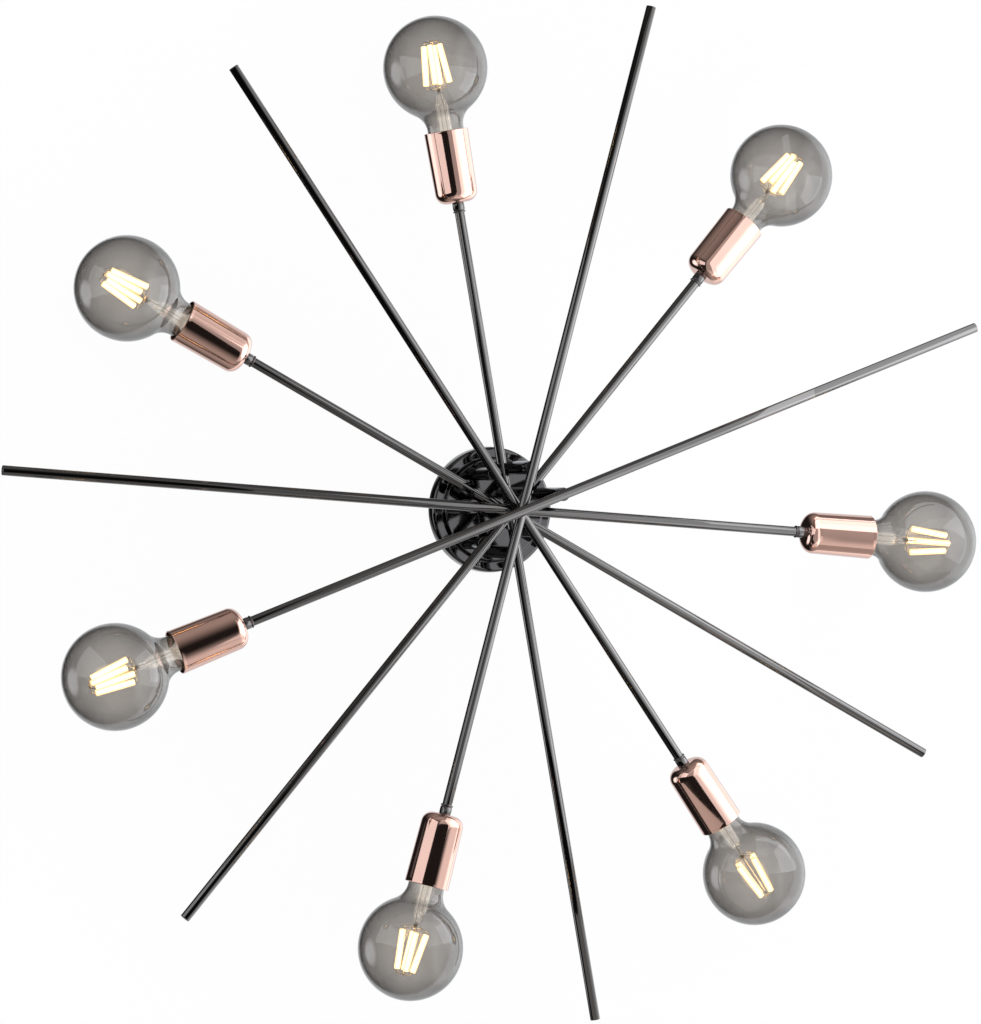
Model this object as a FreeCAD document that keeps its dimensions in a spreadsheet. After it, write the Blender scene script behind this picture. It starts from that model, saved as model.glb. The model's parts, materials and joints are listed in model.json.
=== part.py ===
import FreeCAD, Part
import math
import os
import re
import Sketcher

# Ceiling light with seven crossed arms, hanging below the ceiling plane z = 0.
# The origin is the middle of the ceiling bracket and +Z points up into the ceiling.
# Each arm is one straight tube with a lamp at one end and a plain end at the other.
# The tubes cross on the Z axis, one below the next, and turn by an equal step.
# A post under the plain half of each tube carries it and leads its wires into the canopy.

ARM_COUNT = 7
FIRST_ANGLE = -151.0
SCREW_LINE_ANGLE = -74.0
# Hand-set turn of each arm off its even place, in degrees, top arm first.
ARM_TRIMS = (0.0, -0.5, -1.5, 1.0, 1.0, -1.0, 1.5)
# Turn at which each bulb comes tight in its socket, in degrees, top arm first.
BULB_TURNS = (17.0, 15.0, 11.5, 46.0, 19.0, 56.0, 33.0)

doc = FreeCAD.newDocument("ceiling_light")
sheet = doc.addObject("Spreadsheet::Sheet", "size")

# Driving dimensions in millimetres, grouped by the piece that owns them.
SIZES = (
    # arms
    ("rod_diameter", 9.0),
    ("rod_wall", 0.9),
    ("rod_gap", 0.1),
    ("free_reach", 477.0),
    ("lamp_reach", 284.0),
    ("ceiling_clearance", 4.5),
    ("plug_length", 8.0),
    ("slip_fit", 0.05),
    # lamp holder cup
    ("cup_length", 66.0),
    ("cup_mouth_diameter", 40.5),
    ("cup_base_diameter", 38.5),
    ("cup_wall", 0.8),
    ("cup_shoulder", 10.0),
    ("cup_lip", 0.6),
    # collar between rod and cup
    ("collar_diameter", 11.6),
    ("collar_length", 9.0),
    ("collar_depth", 6.0),
    ("collar_edge", 0.8),
    ("spigot_diameter", 9.8),
    ("spigot_length", 12.0),
    ("spigot_bore", 6.4),
    ("thread_clearance", 0.1),
    # lamp socket
    ("socket_diameter", 35.8),
    ("socket_neck_gap", 0.25),
    ("socket_neck_length", 9.0),
    ("socket_stand_off", 0.5),
    ("socket_lead_in", 1.5),
    ("socket_bore", 27.2),
    ("socket_flare", 1.0),
    ("contact_width", 7.0),
    ("contact_strip", 0.6),
    ("contact_rise", 3.0),
    # bulb
    ("globe_diameter", 95.0),
    ("glass", 0.9),
    ("cap_seat", 32.5),
    ("neck_diameter", 33.0),
    ("neck_length", 9.8),
    ("neck_sweep", 18.0),
    ("neck_round", 4.0),
    ("cap_diameter", 26.2),
    ("cap_length", 25.0),
    ("cap_cone", 4.5),
    ("tip_diameter", 9.0),
    ("tip_height", 1.6),
    ("contact_air", 0.3),
    # bulb inside
    ("stem_diameter", 12.0),
    ("stem_glass", 1.2),
    ("stem_flare", 9.0),
    ("flare_share", 1.4),
    ("stem_short", 24.0),
    ("filament_start", 18.0),
    ("filament_end", 24.0),
    ("filament_diameter", 2.4),
    ("filament_base_circle", 27.5),
    ("filament_top_circle", 17.0),
    ("wire_diameter", 0.9),
    ("hub_diameter", 5.0),
    ("hub_length", 4.0),
    # canopy
    ("canopy_diameter", 117.0),
    ("canopy_depth", 12.0),
    ("canopy_sheet", 1.2),
    ("canopy_draft", 0.6),
    ("canopy_round", 3.0),
    ("flange_width", 6.7),
    ("plateau_height", 5.0),
    ("plateau_slope", 1.2),
    # posts
    ("post_inset", 7.0),
    ("post_diameter", 12.4),
    ("post_edge", 0.6),
    ("saddle_depth", 1.6),
    ("pipe_diameter", 6.0),
    ("pipe_bore", 4.0),
    ("pipe_entry", 2.0),
    ("pipe_stand", 5.4),
    ("nut_flats", 10.0),
    ("nut_height", 4.0),
    # bracket and its screws
    ("bracket_width", 22.0),
    ("bracket_sheet", 1.5),
    ("tab_gap", 0.4),
    ("tab_length", 8.5),
    ("leg_run", 8.0),
    ("tab_width", 9.0),
    ("ceiling_hole_circle", 60.0),
    ("ceiling_hole", 5.2),
    ("screw_diameter", 3.0),
    ("screw_clearance", 0.3),
    ("screw_head", 5.5),
    ("screw_head_height", 1.9),
    ("screw_end", 3.0),
    ("slot_width", 1.0),
    ("slot_depth", 0.9),
    # terminal block and wires
    ("block_length", 26.0),
    ("block_width", 17.0),
    ("block_height", 9.5),
    ("block_poles", 3.0),
    ("block_groove", 1.2),
    ("block_port", 3.2),
    ("earth_offset", 38.0),
    ("lead_diameter", 2.2),
    ("lead_drop", 1.6),
    ("lead_bend", 4.0),
    ("lead_top", 6.5),
    ("lead_gap", 0.8),
    ("overrun", 1.0),
)

for row, (alias, value) in enumerate(SIZES, start=1):
    sheet.set("A%d" % row, alias)
    sheet.set("B%d" % row, str(value))
    sheet.setAlias("B%d" % row, alias)
doc.recompute()

ALIASES = {alias for alias, value in SIZES}


def bound(text):
    """The expression with each size's name pointing at its cell in the sheet."""
    return re.sub(r"[a-z_]+", lambda m: "size." + m.group() if m.group() in ALIASES else m.group(), text)


def value_of(text):
    """The number that an expression of named sizes gives."""
    result = sheet.evalExpression(bound(text))
    return float(getattr(result, "Value", result))


# Places along an arm, from the crossing axis outwards, and heights below the ceiling.
ROD_RADIUS = "rod_diameter / 2"
CUP_MOUTH = "(lamp_reach + cup_length)"
BULB_TIP = "(lamp_reach + cup_length - cap_seat)"
CAP_END = "(lamp_reach + cup_length - cap_seat + cap_length)"
GLOBE_RADIUS = "globe_diameter / 2"
SWEEP_RUN = "sqrt((globe_diameter / 2 + neck_sweep)^2 - (neck_diameter / 2 + neck_sweep)^2)"
NECK_END = "(%s + neck_length)" % CAP_END
GLOBE_CENTRE = "(%s + %s)" % (NECK_END, SWEEP_RUN)
SOCKET_BASE = "(lamp_reach + cup_wall)"
SOCKET_MOUTH = "(%s - socket_stand_off)" % CAP_END
SOCKET_FLOOR = "(%s - contact_air - contact_rise)" % BULB_TIP
ROD_END = "(lamp_reach - collar_length + collar_depth)"
PLATEAU = "(canopy_depth + plateau_height)"
FLANGE_OUTER = "(canopy_diameter / 2 - canopy_draft - canopy_round)"
FLANGE_INNER = "(%s - flange_width)" % FLANGE_OUTER
PLATEAU_RADIUS = "(%s - plateau_slope)" % FLANGE_INNER
SCREW_RADIUS = "(%s + flange_width / 2)" % FLANGE_INNER
POST_RADIUS = "(%s - post_inset)" % PLATEAU_RADIUS
TAB_END = "(%s - tab_gap)" % FLANGE_OUTER
TAB_START = "(%s - tab_length)" % TAB_END
STRIP_END = "(%s - leg_run)" % TAB_START
TAPPED_HOLE = "screw_diameter / 2 + slip_fit"


def rod_height(number):
    """Depth of an arm's axis below the ceiling, as an expression."""
    return "(globe_diameter / 2 + ceiling_clearance + %d * (rod_diameter + rod_gap))" % number


def arm_placement(number):
    """Places a piece drawn along +X at its arm's height and angle."""
    angle = FIRST_ANGLE + number * 360.0 / ARM_COUNT + ARM_TRIMS[number]
    turn = FreeCAD.Rotation(FreeCAD.Vector(0, 0, 1), angle)
    return FreeCAD.Placement(FreeCAD.Vector(0, 0, -value_of(rod_height(number))), turn)


def new_body(label, placement=None):
    body = doc.addObject("PartDesign::Body", label)
    body.Label = label
    if placement is not None:
        body.Placement = placement
    return body


def origin_plane(body, role):
    return next(item for item in body.Origin.OriginFeatures if item.Role == role)


def new_sketch(body, name, role, height=None):
    """A sketch on one of the body's own planes, raised along its normal by height."""
    sketch = body.newObject("Sketcher::SketchObject", name)
    sketch.AttachmentSupport = [(origin_plane(body, role), "")]
    sketch.MapMode = "FlatFace"
    if height is not None:
        sketch.setExpression("AttachmentOffset.Base.z", bound(height))
    return sketch


def pin_point(sketch, geometry, position, place):
    """Ties a sketch point to its two expressions, measured from the sketch's origin."""
    for axis, kind, text in ((-2, "DistanceX", place[0]), (-1, "DistanceY", place[1])):
        number = value_of(text)
        if abs(number) < 1e-9:
            sketch.addConstraint(Sketcher.Constraint("PointOnObject", geometry, position, axis))
        elif number > 0:
            index = sketch.addConstraint(Sketcher.Constraint(kind, -1, 1, geometry, position, number))
            sketch.setExpression("Constraints[%d]" % index, bound(text))
        else:
            index = sketch.addConstraint(Sketcher.Constraint(kind, geometry, position, -1, 1, -number))
            sketch.setExpression("Constraints[%d]" % index, bound("-(%s)" % text))


def draw_outline(sketch, steps):
    """Adds a closed outline through the steps, each (x, y) or (x, y, radius, turn).

    A step with a radius is reached by an arc: turn is 1 anticlockwise and -1 clockwise.
    """
    base = sketch.GeometryCount
    corners = [FreeCAD.Vector(value_of(step[0]), value_of(step[1]), 0) for step in steps]
    up = FreeCAD.Vector(0, 0, 1)
    ends = []
    for index, step in enumerate(steps):
        start = corners[index - 1]
        end = corners[index]
        if len(step) == 2:
            sketch.addGeometry(Part.LineSegment(start, end), False)
            ends.append((1, 2))
            continue
        radius = value_of(step[2])
        chord = end - start
        rise = math.sqrt(radius ** 2 - (chord.Length / 2) ** 2)
        side = FreeCAD.Vector(-chord.y, chord.x, 0).normalize() * rise * step[3]
        centre = start + chord / 2 + side
        first, last = (start, end) if step[3] > 0 else (end, start)
        angles = [math.atan2(point.y - centre.y, point.x - centre.x) for point in (first, last)]
        sketch.addGeometry(Part.ArcOfCircle(Part.Circle(centre, up, radius), *angles), False)
        ends.append((1, 2) if step[3] > 0 else (2, 1))
    for index, step in enumerate(steps):
        after = (index + 1) % len(steps)
        joint = Sketcher.Constraint("Coincident", base + index, ends[index][1], base + after, ends[after][0])
        sketch.addConstraint(joint)
        pin_point(sketch, base + index, ends[index][1], step)
    for index, step in enumerate(steps):
        if len(step) > 2:
            radius = Sketcher.Constraint("Radius", base + index, value_of(step[2]))
            number = sketch.addConstraint(radius)
            sketch.setExpression("Constraints[%d]" % number, bound(step[2]))


def draw_box(sketch, x_low, x_high, y_low, y_high):
    draw_outline(sketch, ((x_low, y_low), (x_high, y_low), (x_high, y_high), (x_low, y_high)))


def draw_circle(sketch, radius, place=("0", "0")):
    centre = FreeCAD.Vector(value_of(place[0]), value_of(place[1]), 0)
    circle = Part.Circle(centre, FreeCAD.Vector(0, 0, 1), value_of(radius))
    index = sketch.addGeometry(circle, False)
    number = sketch.addConstraint(Sketcher.Constraint("Radius", index, value_of(radius)))
    sketch.setExpression("Constraints[%d]" % number, bound(radius))
    if value_of(place[0]) == 0 and value_of(place[1]) == 0:
        sketch.addConstraint(Sketcher.Constraint("Coincident", index, 3, -1, 1))
    else:
        pin_point(sketch, index, 3, place)


def revolve(body, name, steps, role="XY_Plane", axis="H_Axis"):
    """A turned solid: the outline swung once round an axis of its sketch."""
    sketch = new_sketch(body, name + "_profile", role)
    draw_outline(sketch, steps)
    turned = body.newObject("PartDesign::Revolution", name)
    turned.Profile = sketch
    turned.ReferenceAxis = (sketch, [axis])
    turned.Angle = 360.0
    return turned


def pad(body, name, sketch, length, both_ways=False):
    feature = body.newObject("PartDesign::Pad", name)
    feature.Profile = sketch
    feature.setExpression("Length", bound(length))
    feature.Midplane = both_ways
    return feature


def pocket(body, name, sketch, length=None, both_ways=False, reverse=False):
    """A cut from a sketch, right through or to a depth, that must take metal away."""
    doc.recompute()
    before = body.Shape.Volume
    feature = body.newObject("PartDesign::Pocket", name)
    feature.Profile = sketch
    feature.Reversed = reverse
    feature.Midplane = both_ways
    if length is None:
        feature.Type = "ThroughAll"
    else:
        feature.setExpression("Length", bound(length))
    doc.recompute()
    if body.Shape.Volume >= before:
        raise RuntimeError("%s in %s cuts nothing" % (name, body.Label))
    return feature


nodes = []


def keep(item):
    nodes.append(item)
    return item


def keep_group(label, members):
    """One node that holds several like pieces as separate solids."""
    group = doc.addObject("Part::Compound", label)
    group.Label = label
    group.Links = members
    return keep(group)


# Canopy: a spun dish, open to the ceiling, with a raised middle that carries the posts.
def make_canopy():
    body = new_body("canopy")
    rim = "canopy_diameter / 2"
    wall = "(canopy_diameter / 2 - canopy_draft)"
    step_foot = FLANGE_INNER
    step_top = PLATEAU_RADIUS
    inner_wall = "(canopy_diameter / 2 - canopy_draft - canopy_sheet)"
    inner_round = "(canopy_round - canopy_sheet)"
    revolve(body, "spun_dish", (
        (rim, "0"),
        (wall, "-(canopy_depth - canopy_round)"),
        (FLANGE_OUTER, "-canopy_depth", "canopy_round", -1),
        (step_foot, "-canopy_depth"),
        (step_top, "-%s" % PLATEAU),
        ("0", "-%s" % PLATEAU),
        ("0", "-%s + canopy_sheet" % PLATEAU),
        ("%s - canopy_sheet" % step_top, "-%s + canopy_sheet" % PLATEAU),
        ("%s - canopy_sheet" % step_foot, "-canopy_depth + canopy_sheet"),
        ("%s - %s" % (inner_wall, inner_round), "-canopy_depth + canopy_sheet"),
        (inner_wall, "-(canopy_depth - canopy_round)", inner_round, 1),
        ("%s - canopy_sheet" % rim, "0"),
    ), "XZ_Plane", "V_Axis")
    holes = new_sketch(body, "post_hole_plan", "XY_Plane")
    for number in range(ARM_COUNT):
        x, y = post_centre(number)
        place = ("%.6f * %s" % (x, POST_RADIUS), "%.6f * %s" % (y, POST_RADIUS))
        draw_circle(holes, "pipe_diameter / 2 + thread_clearance", place)
    pocket(body, "post_holes", holes)
    screws = new_sketch(body, "screw_hole_plan", "XY_Plane")
    for place in screw_centres(SCREW_RADIUS):
        draw_circle(screws, "screw_diameter / 2 + screw_clearance", place)
    pocket(body, "screw_holes", screws)
    return keep(body)


def post_centre(number):
    """Unit direction of an arm's plain half, where its post stands."""
    angle = math.radians(FIRST_ANGLE + number * 360.0 / ARM_COUNT + ARM_TRIMS[number])
    return -math.cos(angle), -math.sin(angle)


def screw_centres(radius):
    """The two places on the screw line at a radius given as an expression."""
    angle = math.radians(SCREW_LINE_ANGLE)
    x, y = math.cos(angle), math.sin(angle)
    return [("%.6f * %s" % (side * x, radius), "%.6f * %s" % (side * y, radius)) for side in (1, -1)]


def screw_line_placement(height="0"):
    turn = FreeCAD.Rotation(FreeCAD.Vector(0, 0, 1), SCREW_LINE_ANGLE)
    return FreeCAD.Placement(FreeCAD.Vector(0, 0, value_of(height)), turn)


# Ceiling bracket: a strip bent down at both ends to tapped tabs for the canopy screws.
def make_bracket():
    body = new_body("mounting_bracket", screw_line_placement())
    half_flat = STRIP_END
    foot = TAB_START
    end = TAB_END
    under = "-(canopy_depth - canopy_sheet)"
    over = "-(canopy_depth - canopy_sheet - bracket_sheet)"
    side = new_sketch(body, "strip_outline", "XZ_Plane")
    draw_outline(side, (
        ("-(%s)" % half_flat, "0"),
        ("-(%s)" % foot, over),
        ("-(%s)" % end, over),
        ("-(%s)" % end, under),
        ("-(%s - bracket_sheet / 2)" % foot, under),
        ("-(%s - bracket_sheet / 2)" % half_flat, "-bracket_sheet"),
        ("%s - bracket_sheet / 2" % half_flat, "-bracket_sheet"),
        ("%s - bracket_sheet / 2" % foot, under),
        (end, under),
        (end, over),
        (foot, over),
        (half_flat, "0"),
    ))
    pad(body, "strip", side, "bracket_width", both_ways=True)
    trim = new_sketch(body, "tab_trim_plan", "XY_Plane")
    for end_sign in ("", "-"):
        for edge_sign in ("", "-"):
            draw_box(trim, "%s(%s)" % (end_sign, foot), "%s(%s + overrun)" % (end_sign, end),
                     "%s(tab_width / 2)" % edge_sign, "%s(bracket_width / 2 + overrun)" % edge_sign)
    pocket(body, "tab_trim", trim)
    plan = new_sketch(body, "hole_plan", "XY_Plane")
    for sign in ("", "-"):
        draw_circle(plan, "ceiling_hole / 2", ("%s(ceiling_hole_circle / 2)" % sign, "0"))
        draw_circle(plan, TAPPED_HOLE, (sign + SCREW_RADIUS, "0"))
    draw_circle(plan, TAPPED_HOLE, ("earth_offset / 2", "-bracket_width / 4"))
    pocket(body, "holes", plan)
    return keep(body)


# One arm's tube, drilled on its upper side for the post's pipe.
def make_rod(number):
    body = new_body("rod_%d" % (number + 1), arm_placement(number))
    section = new_sketch(body, "tube_section", "YZ_Plane", "-free_reach")
    draw_circle(section, ROD_RADIUS)
    draw_circle(section, "rod_diameter / 2 - rod_wall")
    pad(body, "tube", section, "free_reach + %s" % ROD_END)
    hole = new_sketch(body, "pipe_hole_plan", "XY_Plane")
    draw_circle(hole, "pipe_diameter / 2 + slip_fit", ("-(%s)" % POST_RADIUS, "0"))
    pocket(body, "pipe_hole", hole, "rod_diameter / 2 + overrun", reverse=True)
    return keep(body)


def make_plug(number):
    body = new_body("rod_end_plug_%d" % (number + 1), arm_placement(number))
    section = new_sketch(body, "plug_section", "YZ_Plane", "-free_reach")
    draw_circle(section, "rod_diameter / 2 - rod_wall - slip_fit")
    pad(body, "plug", section, "plug_length")
    return body


# Turned collar: takes the rod's end, and its spigot clamps cup and socket together.
def make_collar(number):
    body = new_body("holder_collar_%d" % (number + 1), arm_placement(number))
    back = "(lamp_reach - collar_length)"
    revolve(body, "collar", (
        (back, "rod_diameter / 2 + slip_fit"),
        ("%s + collar_depth" % back, "rod_diameter / 2 + slip_fit"),
        ("%s + collar_depth" % back, "spigot_bore / 2"),
        ("lamp_reach + spigot_length", "spigot_bore / 2"),
        ("lamp_reach + spigot_length", "spigot_diameter / 2"),
        ("lamp_reach", "spigot_diameter / 2"),
        ("lamp_reach", "collar_diameter / 2"),
        ("%s + collar_edge" % back, "collar_diameter / 2"),
        (back, "collar_diameter / 2 - collar_edge"),
    ))
    return body


# Deep-drawn cup with a rounded shoulder, a slight taper and a plain rolled lip.
def make_cup(number):
    body = new_body("holder_cup_%d" % (number + 1), arm_placement(number))
    base = "lamp_reach"
    floor = "(lamp_reach + cup_wall)"
    inner_round = "(cup_shoulder - cup_wall)"
    revolve(body, "drawn_cup", (
        (base, "spigot_diameter / 2 + thread_clearance"),
        (floor, "spigot_diameter / 2 + thread_clearance"),
        (floor, "cup_base_diameter / 2 - cup_shoulder"),
        ("lamp_reach + cup_shoulder", "cup_base_diameter / 2 - cup_wall", inner_round, -1),
        (CUP_MOUTH, "cup_mouth_diameter / 2 - cup_wall"),
        (CUP_MOUTH, "cup_mouth_diameter / 2 - cup_wall / 4"),
        ("%s - cup_lip" % CUP_MOUTH, "cup_mouth_diameter / 2"),
        ("lamp_reach + cup_shoulder", "cup_base_diameter / 2"),
        (base, "cup_base_diameter / 2 - cup_shoulder", "cup_shoulder", 1),
    ))
    return keep(body)


# Lamp socket: moulded body with the threaded well for the bulb's cap.
def make_socket(number):
    body = new_body("lamp_socket_%d" % (number + 1), arm_placement(number))
    neck = "cup_base_diameter / 2 - cup_shoulder - socket_neck_gap"
    neck_end = "(%s + socket_neck_length)" % SOCKET_BASE
    revolve(body, "moulding", (
        (SOCKET_BASE, "spigot_diameter / 2 + thread_clearance"),
        ("lamp_reach + spigot_length + overrun", "spigot_diameter / 2 + thread_clearance"),
        ("lamp_reach + spigot_length + overrun", "spigot_bore / 2"),
        (SOCKET_FLOOR, "spigot_bore / 2"),
        (SOCKET_FLOOR, "socket_bore / 2"),
        ("%s - socket_lead_in" % SOCKET_MOUTH, "socket_bore / 2"),
        (SOCKET_MOUTH, "socket_bore / 2 + socket_flare"),
        (SOCKET_MOUTH, "socket_diameter / 2"),
        ("%s + socket_neck_length / 2" % neck_end, "socket_diameter / 2"),
        (neck_end, neck),
        (SOCKET_BASE, neck),
    ))
    return keep(body)


def make_contact(number):
    """The spring tongue on the well's floor that meets the bulb's tip."""
    body = new_body("socket_contact_%d" % (number + 1), arm_placement(number))
    half = "socket_bore / 2 - 2 * contact_strip"
    top = "(%s + contact_rise)" % SOCKET_FLOOR
    side = new_sketch(body, "tongue_outline", "XY_Plane")
    draw_outline(side, (
        (SOCKET_FLOOR, half),
        ("%s + contact_strip" % SOCKET_FLOOR, half),
        ("%s + contact_strip" % SOCKET_FLOOR, "socket_bore / 4"),
        (top, "tip_diameter / 3"),
        (top, "-tip_diameter / 3"),
        ("%s - contact_strip" % top, "-tip_diameter / 3"),
        ("%s - contact_strip" % top, "tip_diameter / 3 - contact_strip"),
        (SOCKET_FLOOR, "socket_bore / 4 - contact_strip"),
    ))
    pad(body, "tongue", side, "contact_width", both_ways=True)
    return body


# Bulb glass: globe, swept neck, flare and inner stem in one turned envelope.
def make_globe(number):
    body = new_body("bulb_globe_%d" % (number + 1), arm_placement(number))
    neck = "neck_diameter / 2"
    share = "%s / (%s + neck_sweep)" % (GLOBE_RADIUS, GLOBE_RADIUS)
    inner_share = "(%s - glass) / (%s + neck_sweep)" % (GLOBE_RADIUS, GLOBE_RADIUS)
    cap_joint = "(cap_diameter / 2 - glass / 2)"
    stem_tip = "(%s - stem_short)" % GLOBE_CENTRE
    flare_end = "(%s + neck_round + stem_flare)" % CAP_END
    bore = "stem_diameter / 2 - stem_glass"
    revolve(body, "envelope", (
        ("%s + %s" % (GLOBE_CENTRE, GLOBE_RADIUS), "0"),
        ("%s - %s * %s" % (GLOBE_CENTRE, SWEEP_RUN, share), "(%s + neck_sweep) * %s" % (neck, share),
         GLOBE_RADIUS, 1),
        (NECK_END, neck, "neck_sweep", -1),
        ("%s + neck_round" % CAP_END, neck),
        (CAP_END, cap_joint, "neck_round", 1),
        (CAP_END, "%s - glass" % cap_joint),
        (flare_end, bore, "stem_flare * flare_share + stem_glass", 1),
        ("%s - 2 * stem_glass" % stem_tip, bore),
        ("%s - stem_glass" % stem_tip, "0"),
        (stem_tip, "0"),
        (stem_tip, "wire_diameter"),
        ("%s - 2 * stem_glass" % stem_tip, "stem_diameter / 2"),
        (flare_end, "stem_diameter / 2"),
        ("%s + neck_round" % CAP_END, "%s - glass" % neck, "stem_flare * flare_share", -1),
        (NECK_END, "%s - glass" % neck),
        ("%s - %s * %s" % (GLOBE_CENTRE, SWEEP_RUN, inner_share),
         "(%s + neck_sweep) * %s" % (neck, inner_share), "neck_sweep + glass", 1),
        ("%s + %s - glass" % (GLOBE_CENTRE, GLOBE_RADIUS), "0", "%s - glass" % GLOBE_RADIUS, -1),
    ))
    return keep(body)


# Screw cap: tip, insulating cone and shell, closed by the glass.
def make_cap(number):
    body = new_body("bulb_cap_%d" % (number + 1), arm_placement(number))
    shell = "cap_diameter / 2"
    revolve(body, "screw_cap", (
        (BULB_TIP, "0"),
        (BULB_TIP, "tip_diameter / 2 - tip_height"),
        ("%s + tip_height" % BULB_TIP, "tip_diameter / 2", "tip_height", -1),
        ("%s + cap_cone" % BULB_TIP, "%s - tip_height" % shell),
        ("%s + cap_cone + tip_height" % BULB_TIP, shell),
        (CAP_END, shell),
        (CAP_END, "0"),
    ))
    return keep(body)


# Light source: four coated filaments in a tapering cage on a fine wire mast.
def make_filaments(number):
    label = "bulb_filaments_%d" % (number + 1)
    start = value_of("%s - filament_start" % GLOBE_CENTRE)
    end = value_of("%s + filament_end" % GLOBE_CENTRE)
    base_radius = value_of("filament_base_circle / 2")
    top_radius = value_of("filament_top_circle / 2")
    wire = value_of("wire_diameter / 2")
    bead = value_of("wire_diameter")
    hub = value_of("hub_diameter / 2")
    foot = value_of("%s - stem_short" % GLOBE_CENTRE)
    hub_foot = start - value_of("hub_length")
    along = FreeCAD.Vector(1, 0, 0)
    solids = [
        Part.makeCylinder(0.6 * bead, end - foot, along * foot, along),
        Part.makeCylinder(hub, start + 2 * bead - hub_foot, along * hub_foot, along),
        Part.makeCylinder(bead, 3 * bead, along * (end - 2 * bead), along),
    ]
    for quarter in range(4):
        angle = math.radians(45 + 90 * quarter)
        out = FreeCAD.Vector(0, math.cos(angle), math.sin(angle))
        low = out * base_radius + along * start
        high = out * top_radius + along * end
        run = high - low
        solids.append(Part.makeCylinder(value_of("filament_diameter / 2"), run.Length, low, run))
        for place, radius in ((start + bead, base_radius), (end - bead, top_radius)):
            spoke = Part.makeCylinder(wire, radius - 0.8 * bead, along * place + out * 0.8 * bead, out)
            solids.append(spoke)
    cage = doc.addObject("Part::Feature", label)
    cage.Label = label
    cage.Shape = solids[0].multiFuse(solids[1:])
    turn = FreeCAD.Rotation(along, BULB_TURNS[number])
    cage.Placement = arm_placement(number) * FreeCAD.Placement(FreeCAD.Vector(0, 0, 0), turn)
    return keep(cage)


# Post under an arm's plain half: sleeve with a saddle, threaded pipe and nut.
def post_placement(number):
    x, y = post_centre(number)
    radius = value_of(POST_RADIUS)
    turn = FreeCAD.Rotation(FreeCAD.Vector(0, 0, 1), math.degrees(math.atan2(y, x)))
    return FreeCAD.Placement(FreeCAD.Vector(x * radius, y * radius, 0), turn)


def rod_top(number):
    """Height of the side of an arm's tube that faces the ceiling."""
    return "-(%s - rod_diameter / 2)" % rod_height(number)


def make_post(number):
    body = new_body("rod_post_%d" % (number + 1), post_placement(number))
    end = "%s - saddle_depth" % rod_top(number)
    bore = "pipe_diameter / 2 + slip_fit"
    revolve(body, "sleeve", (
        ("post_diameter / 2", "-%s" % PLATEAU),
        ("post_diameter / 2", "%s + post_edge" % end),
        ("post_diameter / 2 - post_edge", end),
        (bore, end),
        (bore, "-%s" % PLATEAU),
    ), "XZ_Plane", "V_Axis")
    seat = new_sketch(body, "saddle_section", "YZ_Plane")
    draw_circle(seat, "rod_diameter / 2 + slip_fit", ("0", "-%s" % rod_height(number)))
    pocket(body, "saddle", seat, "post_diameter + 2 * overrun", both_ways=True)
    return body


def make_pipe(number):
    body = new_body("post_pipe_%d" % (number + 1), post_placement(number))
    low = "%s - pipe_entry" % rod_top(number)
    high = "-%s + canopy_sheet + pipe_stand" % PLATEAU
    revolve(body, "pipe", (
        ("pipe_diameter / 2", high),
        ("pipe_diameter / 2", low),
        ("pipe_bore / 2", low),
        ("pipe_bore / 2", high),
    ), "XZ_Plane", "V_Axis")
    return body


def make_nut(number):
    body = new_body("post_nut_%d" % (number + 1), post_placement(number))
    plan = new_sketch(body, "nut_plan", "XY_Plane", "-%s + canopy_sheet" % PLATEAU)
    corners = [math.radians(60 * side) for side in range(6)]
    reach = "nut_flats / sqrt(3)"
    draw_outline(plan, [("%.6f * %s" % (math.cos(a), reach), "%.6f * %s" % (math.sin(a), reach))
                        for a in corners])
    draw_circle(plan, "pipe_diameter / 2 + slip_fit")
    pad(body, "nut", plan, "nut_height")
    return body


def block_reach(number):
    """Distance from the axis to the terminal block's side, along an arm's plain half."""
    x, y = post_centre(number)
    angle = math.atan2(y, x) - math.radians(SCREW_LINE_ANGLE)
    long_way = value_of("block_length / 2") / abs(math.cos(angle))
    short_way = value_of("block_width / 2") / abs(math.sin(angle))
    return min(long_way, short_way)


def make_lead(number):
    """Sheathed lead: socket floor, along the tube, up the pipe and in to the terminal block."""
    drop = -value_of("lead_drop")
    bend = value_of("lead_bend")
    post = -value_of(POST_RADIUS)
    top = value_of("%s - lead_top" % rod_height(number))
    tail = -block_reach(number) - value_of("lead_gap")
    start = FreeCAD.Vector(value_of(SOCKET_FLOOR), 0, drop)
    lean = bend * (1 - math.sqrt(0.5))
    edges = [
        Part.LineSegment(start, FreeCAD.Vector(post + bend, 0, drop)).toShape(),
        Part.Arc(FreeCAD.Vector(post + bend, 0, drop), FreeCAD.Vector(post + lean, 0, drop + lean),
                 FreeCAD.Vector(post, 0, drop + bend)).toShape(),
        Part.LineSegment(FreeCAD.Vector(post, 0, drop + bend), FreeCAD.Vector(post, 0, top - bend)).toShape(),
        Part.Arc(FreeCAD.Vector(post, 0, top - bend), FreeCAD.Vector(post + lean, 0, top - lean),
                 FreeCAD.Vector(post + bend, 0, top)).toShape(),
        Part.LineSegment(FreeCAD.Vector(post + bend, 0, top), FreeCAD.Vector(tail, 0, top)).toShape(),
    ]
    route = Part.Wire(edges)
    section = value_of("lead_diameter / 2")
    ring = Part.Circle(start, FreeCAD.Vector(1, 0, 0), section).toShape()
    lead = doc.addObject("Part::Feature", "rod_lead_%d" % (number + 1))
    lead.Label = lead.Name
    lead.Shape = route.makePipeShell([Part.Wire([ring])], True, True)
    swept = lead.Shape.Volume / (math.pi * section ** 2 * route.Length)
    print("%s: bends of %.1f mm, volume %.4f of section by length" % (lead.Label, bend, swept))
    lead.Placement = arm_placement(number)
    return lead


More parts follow.
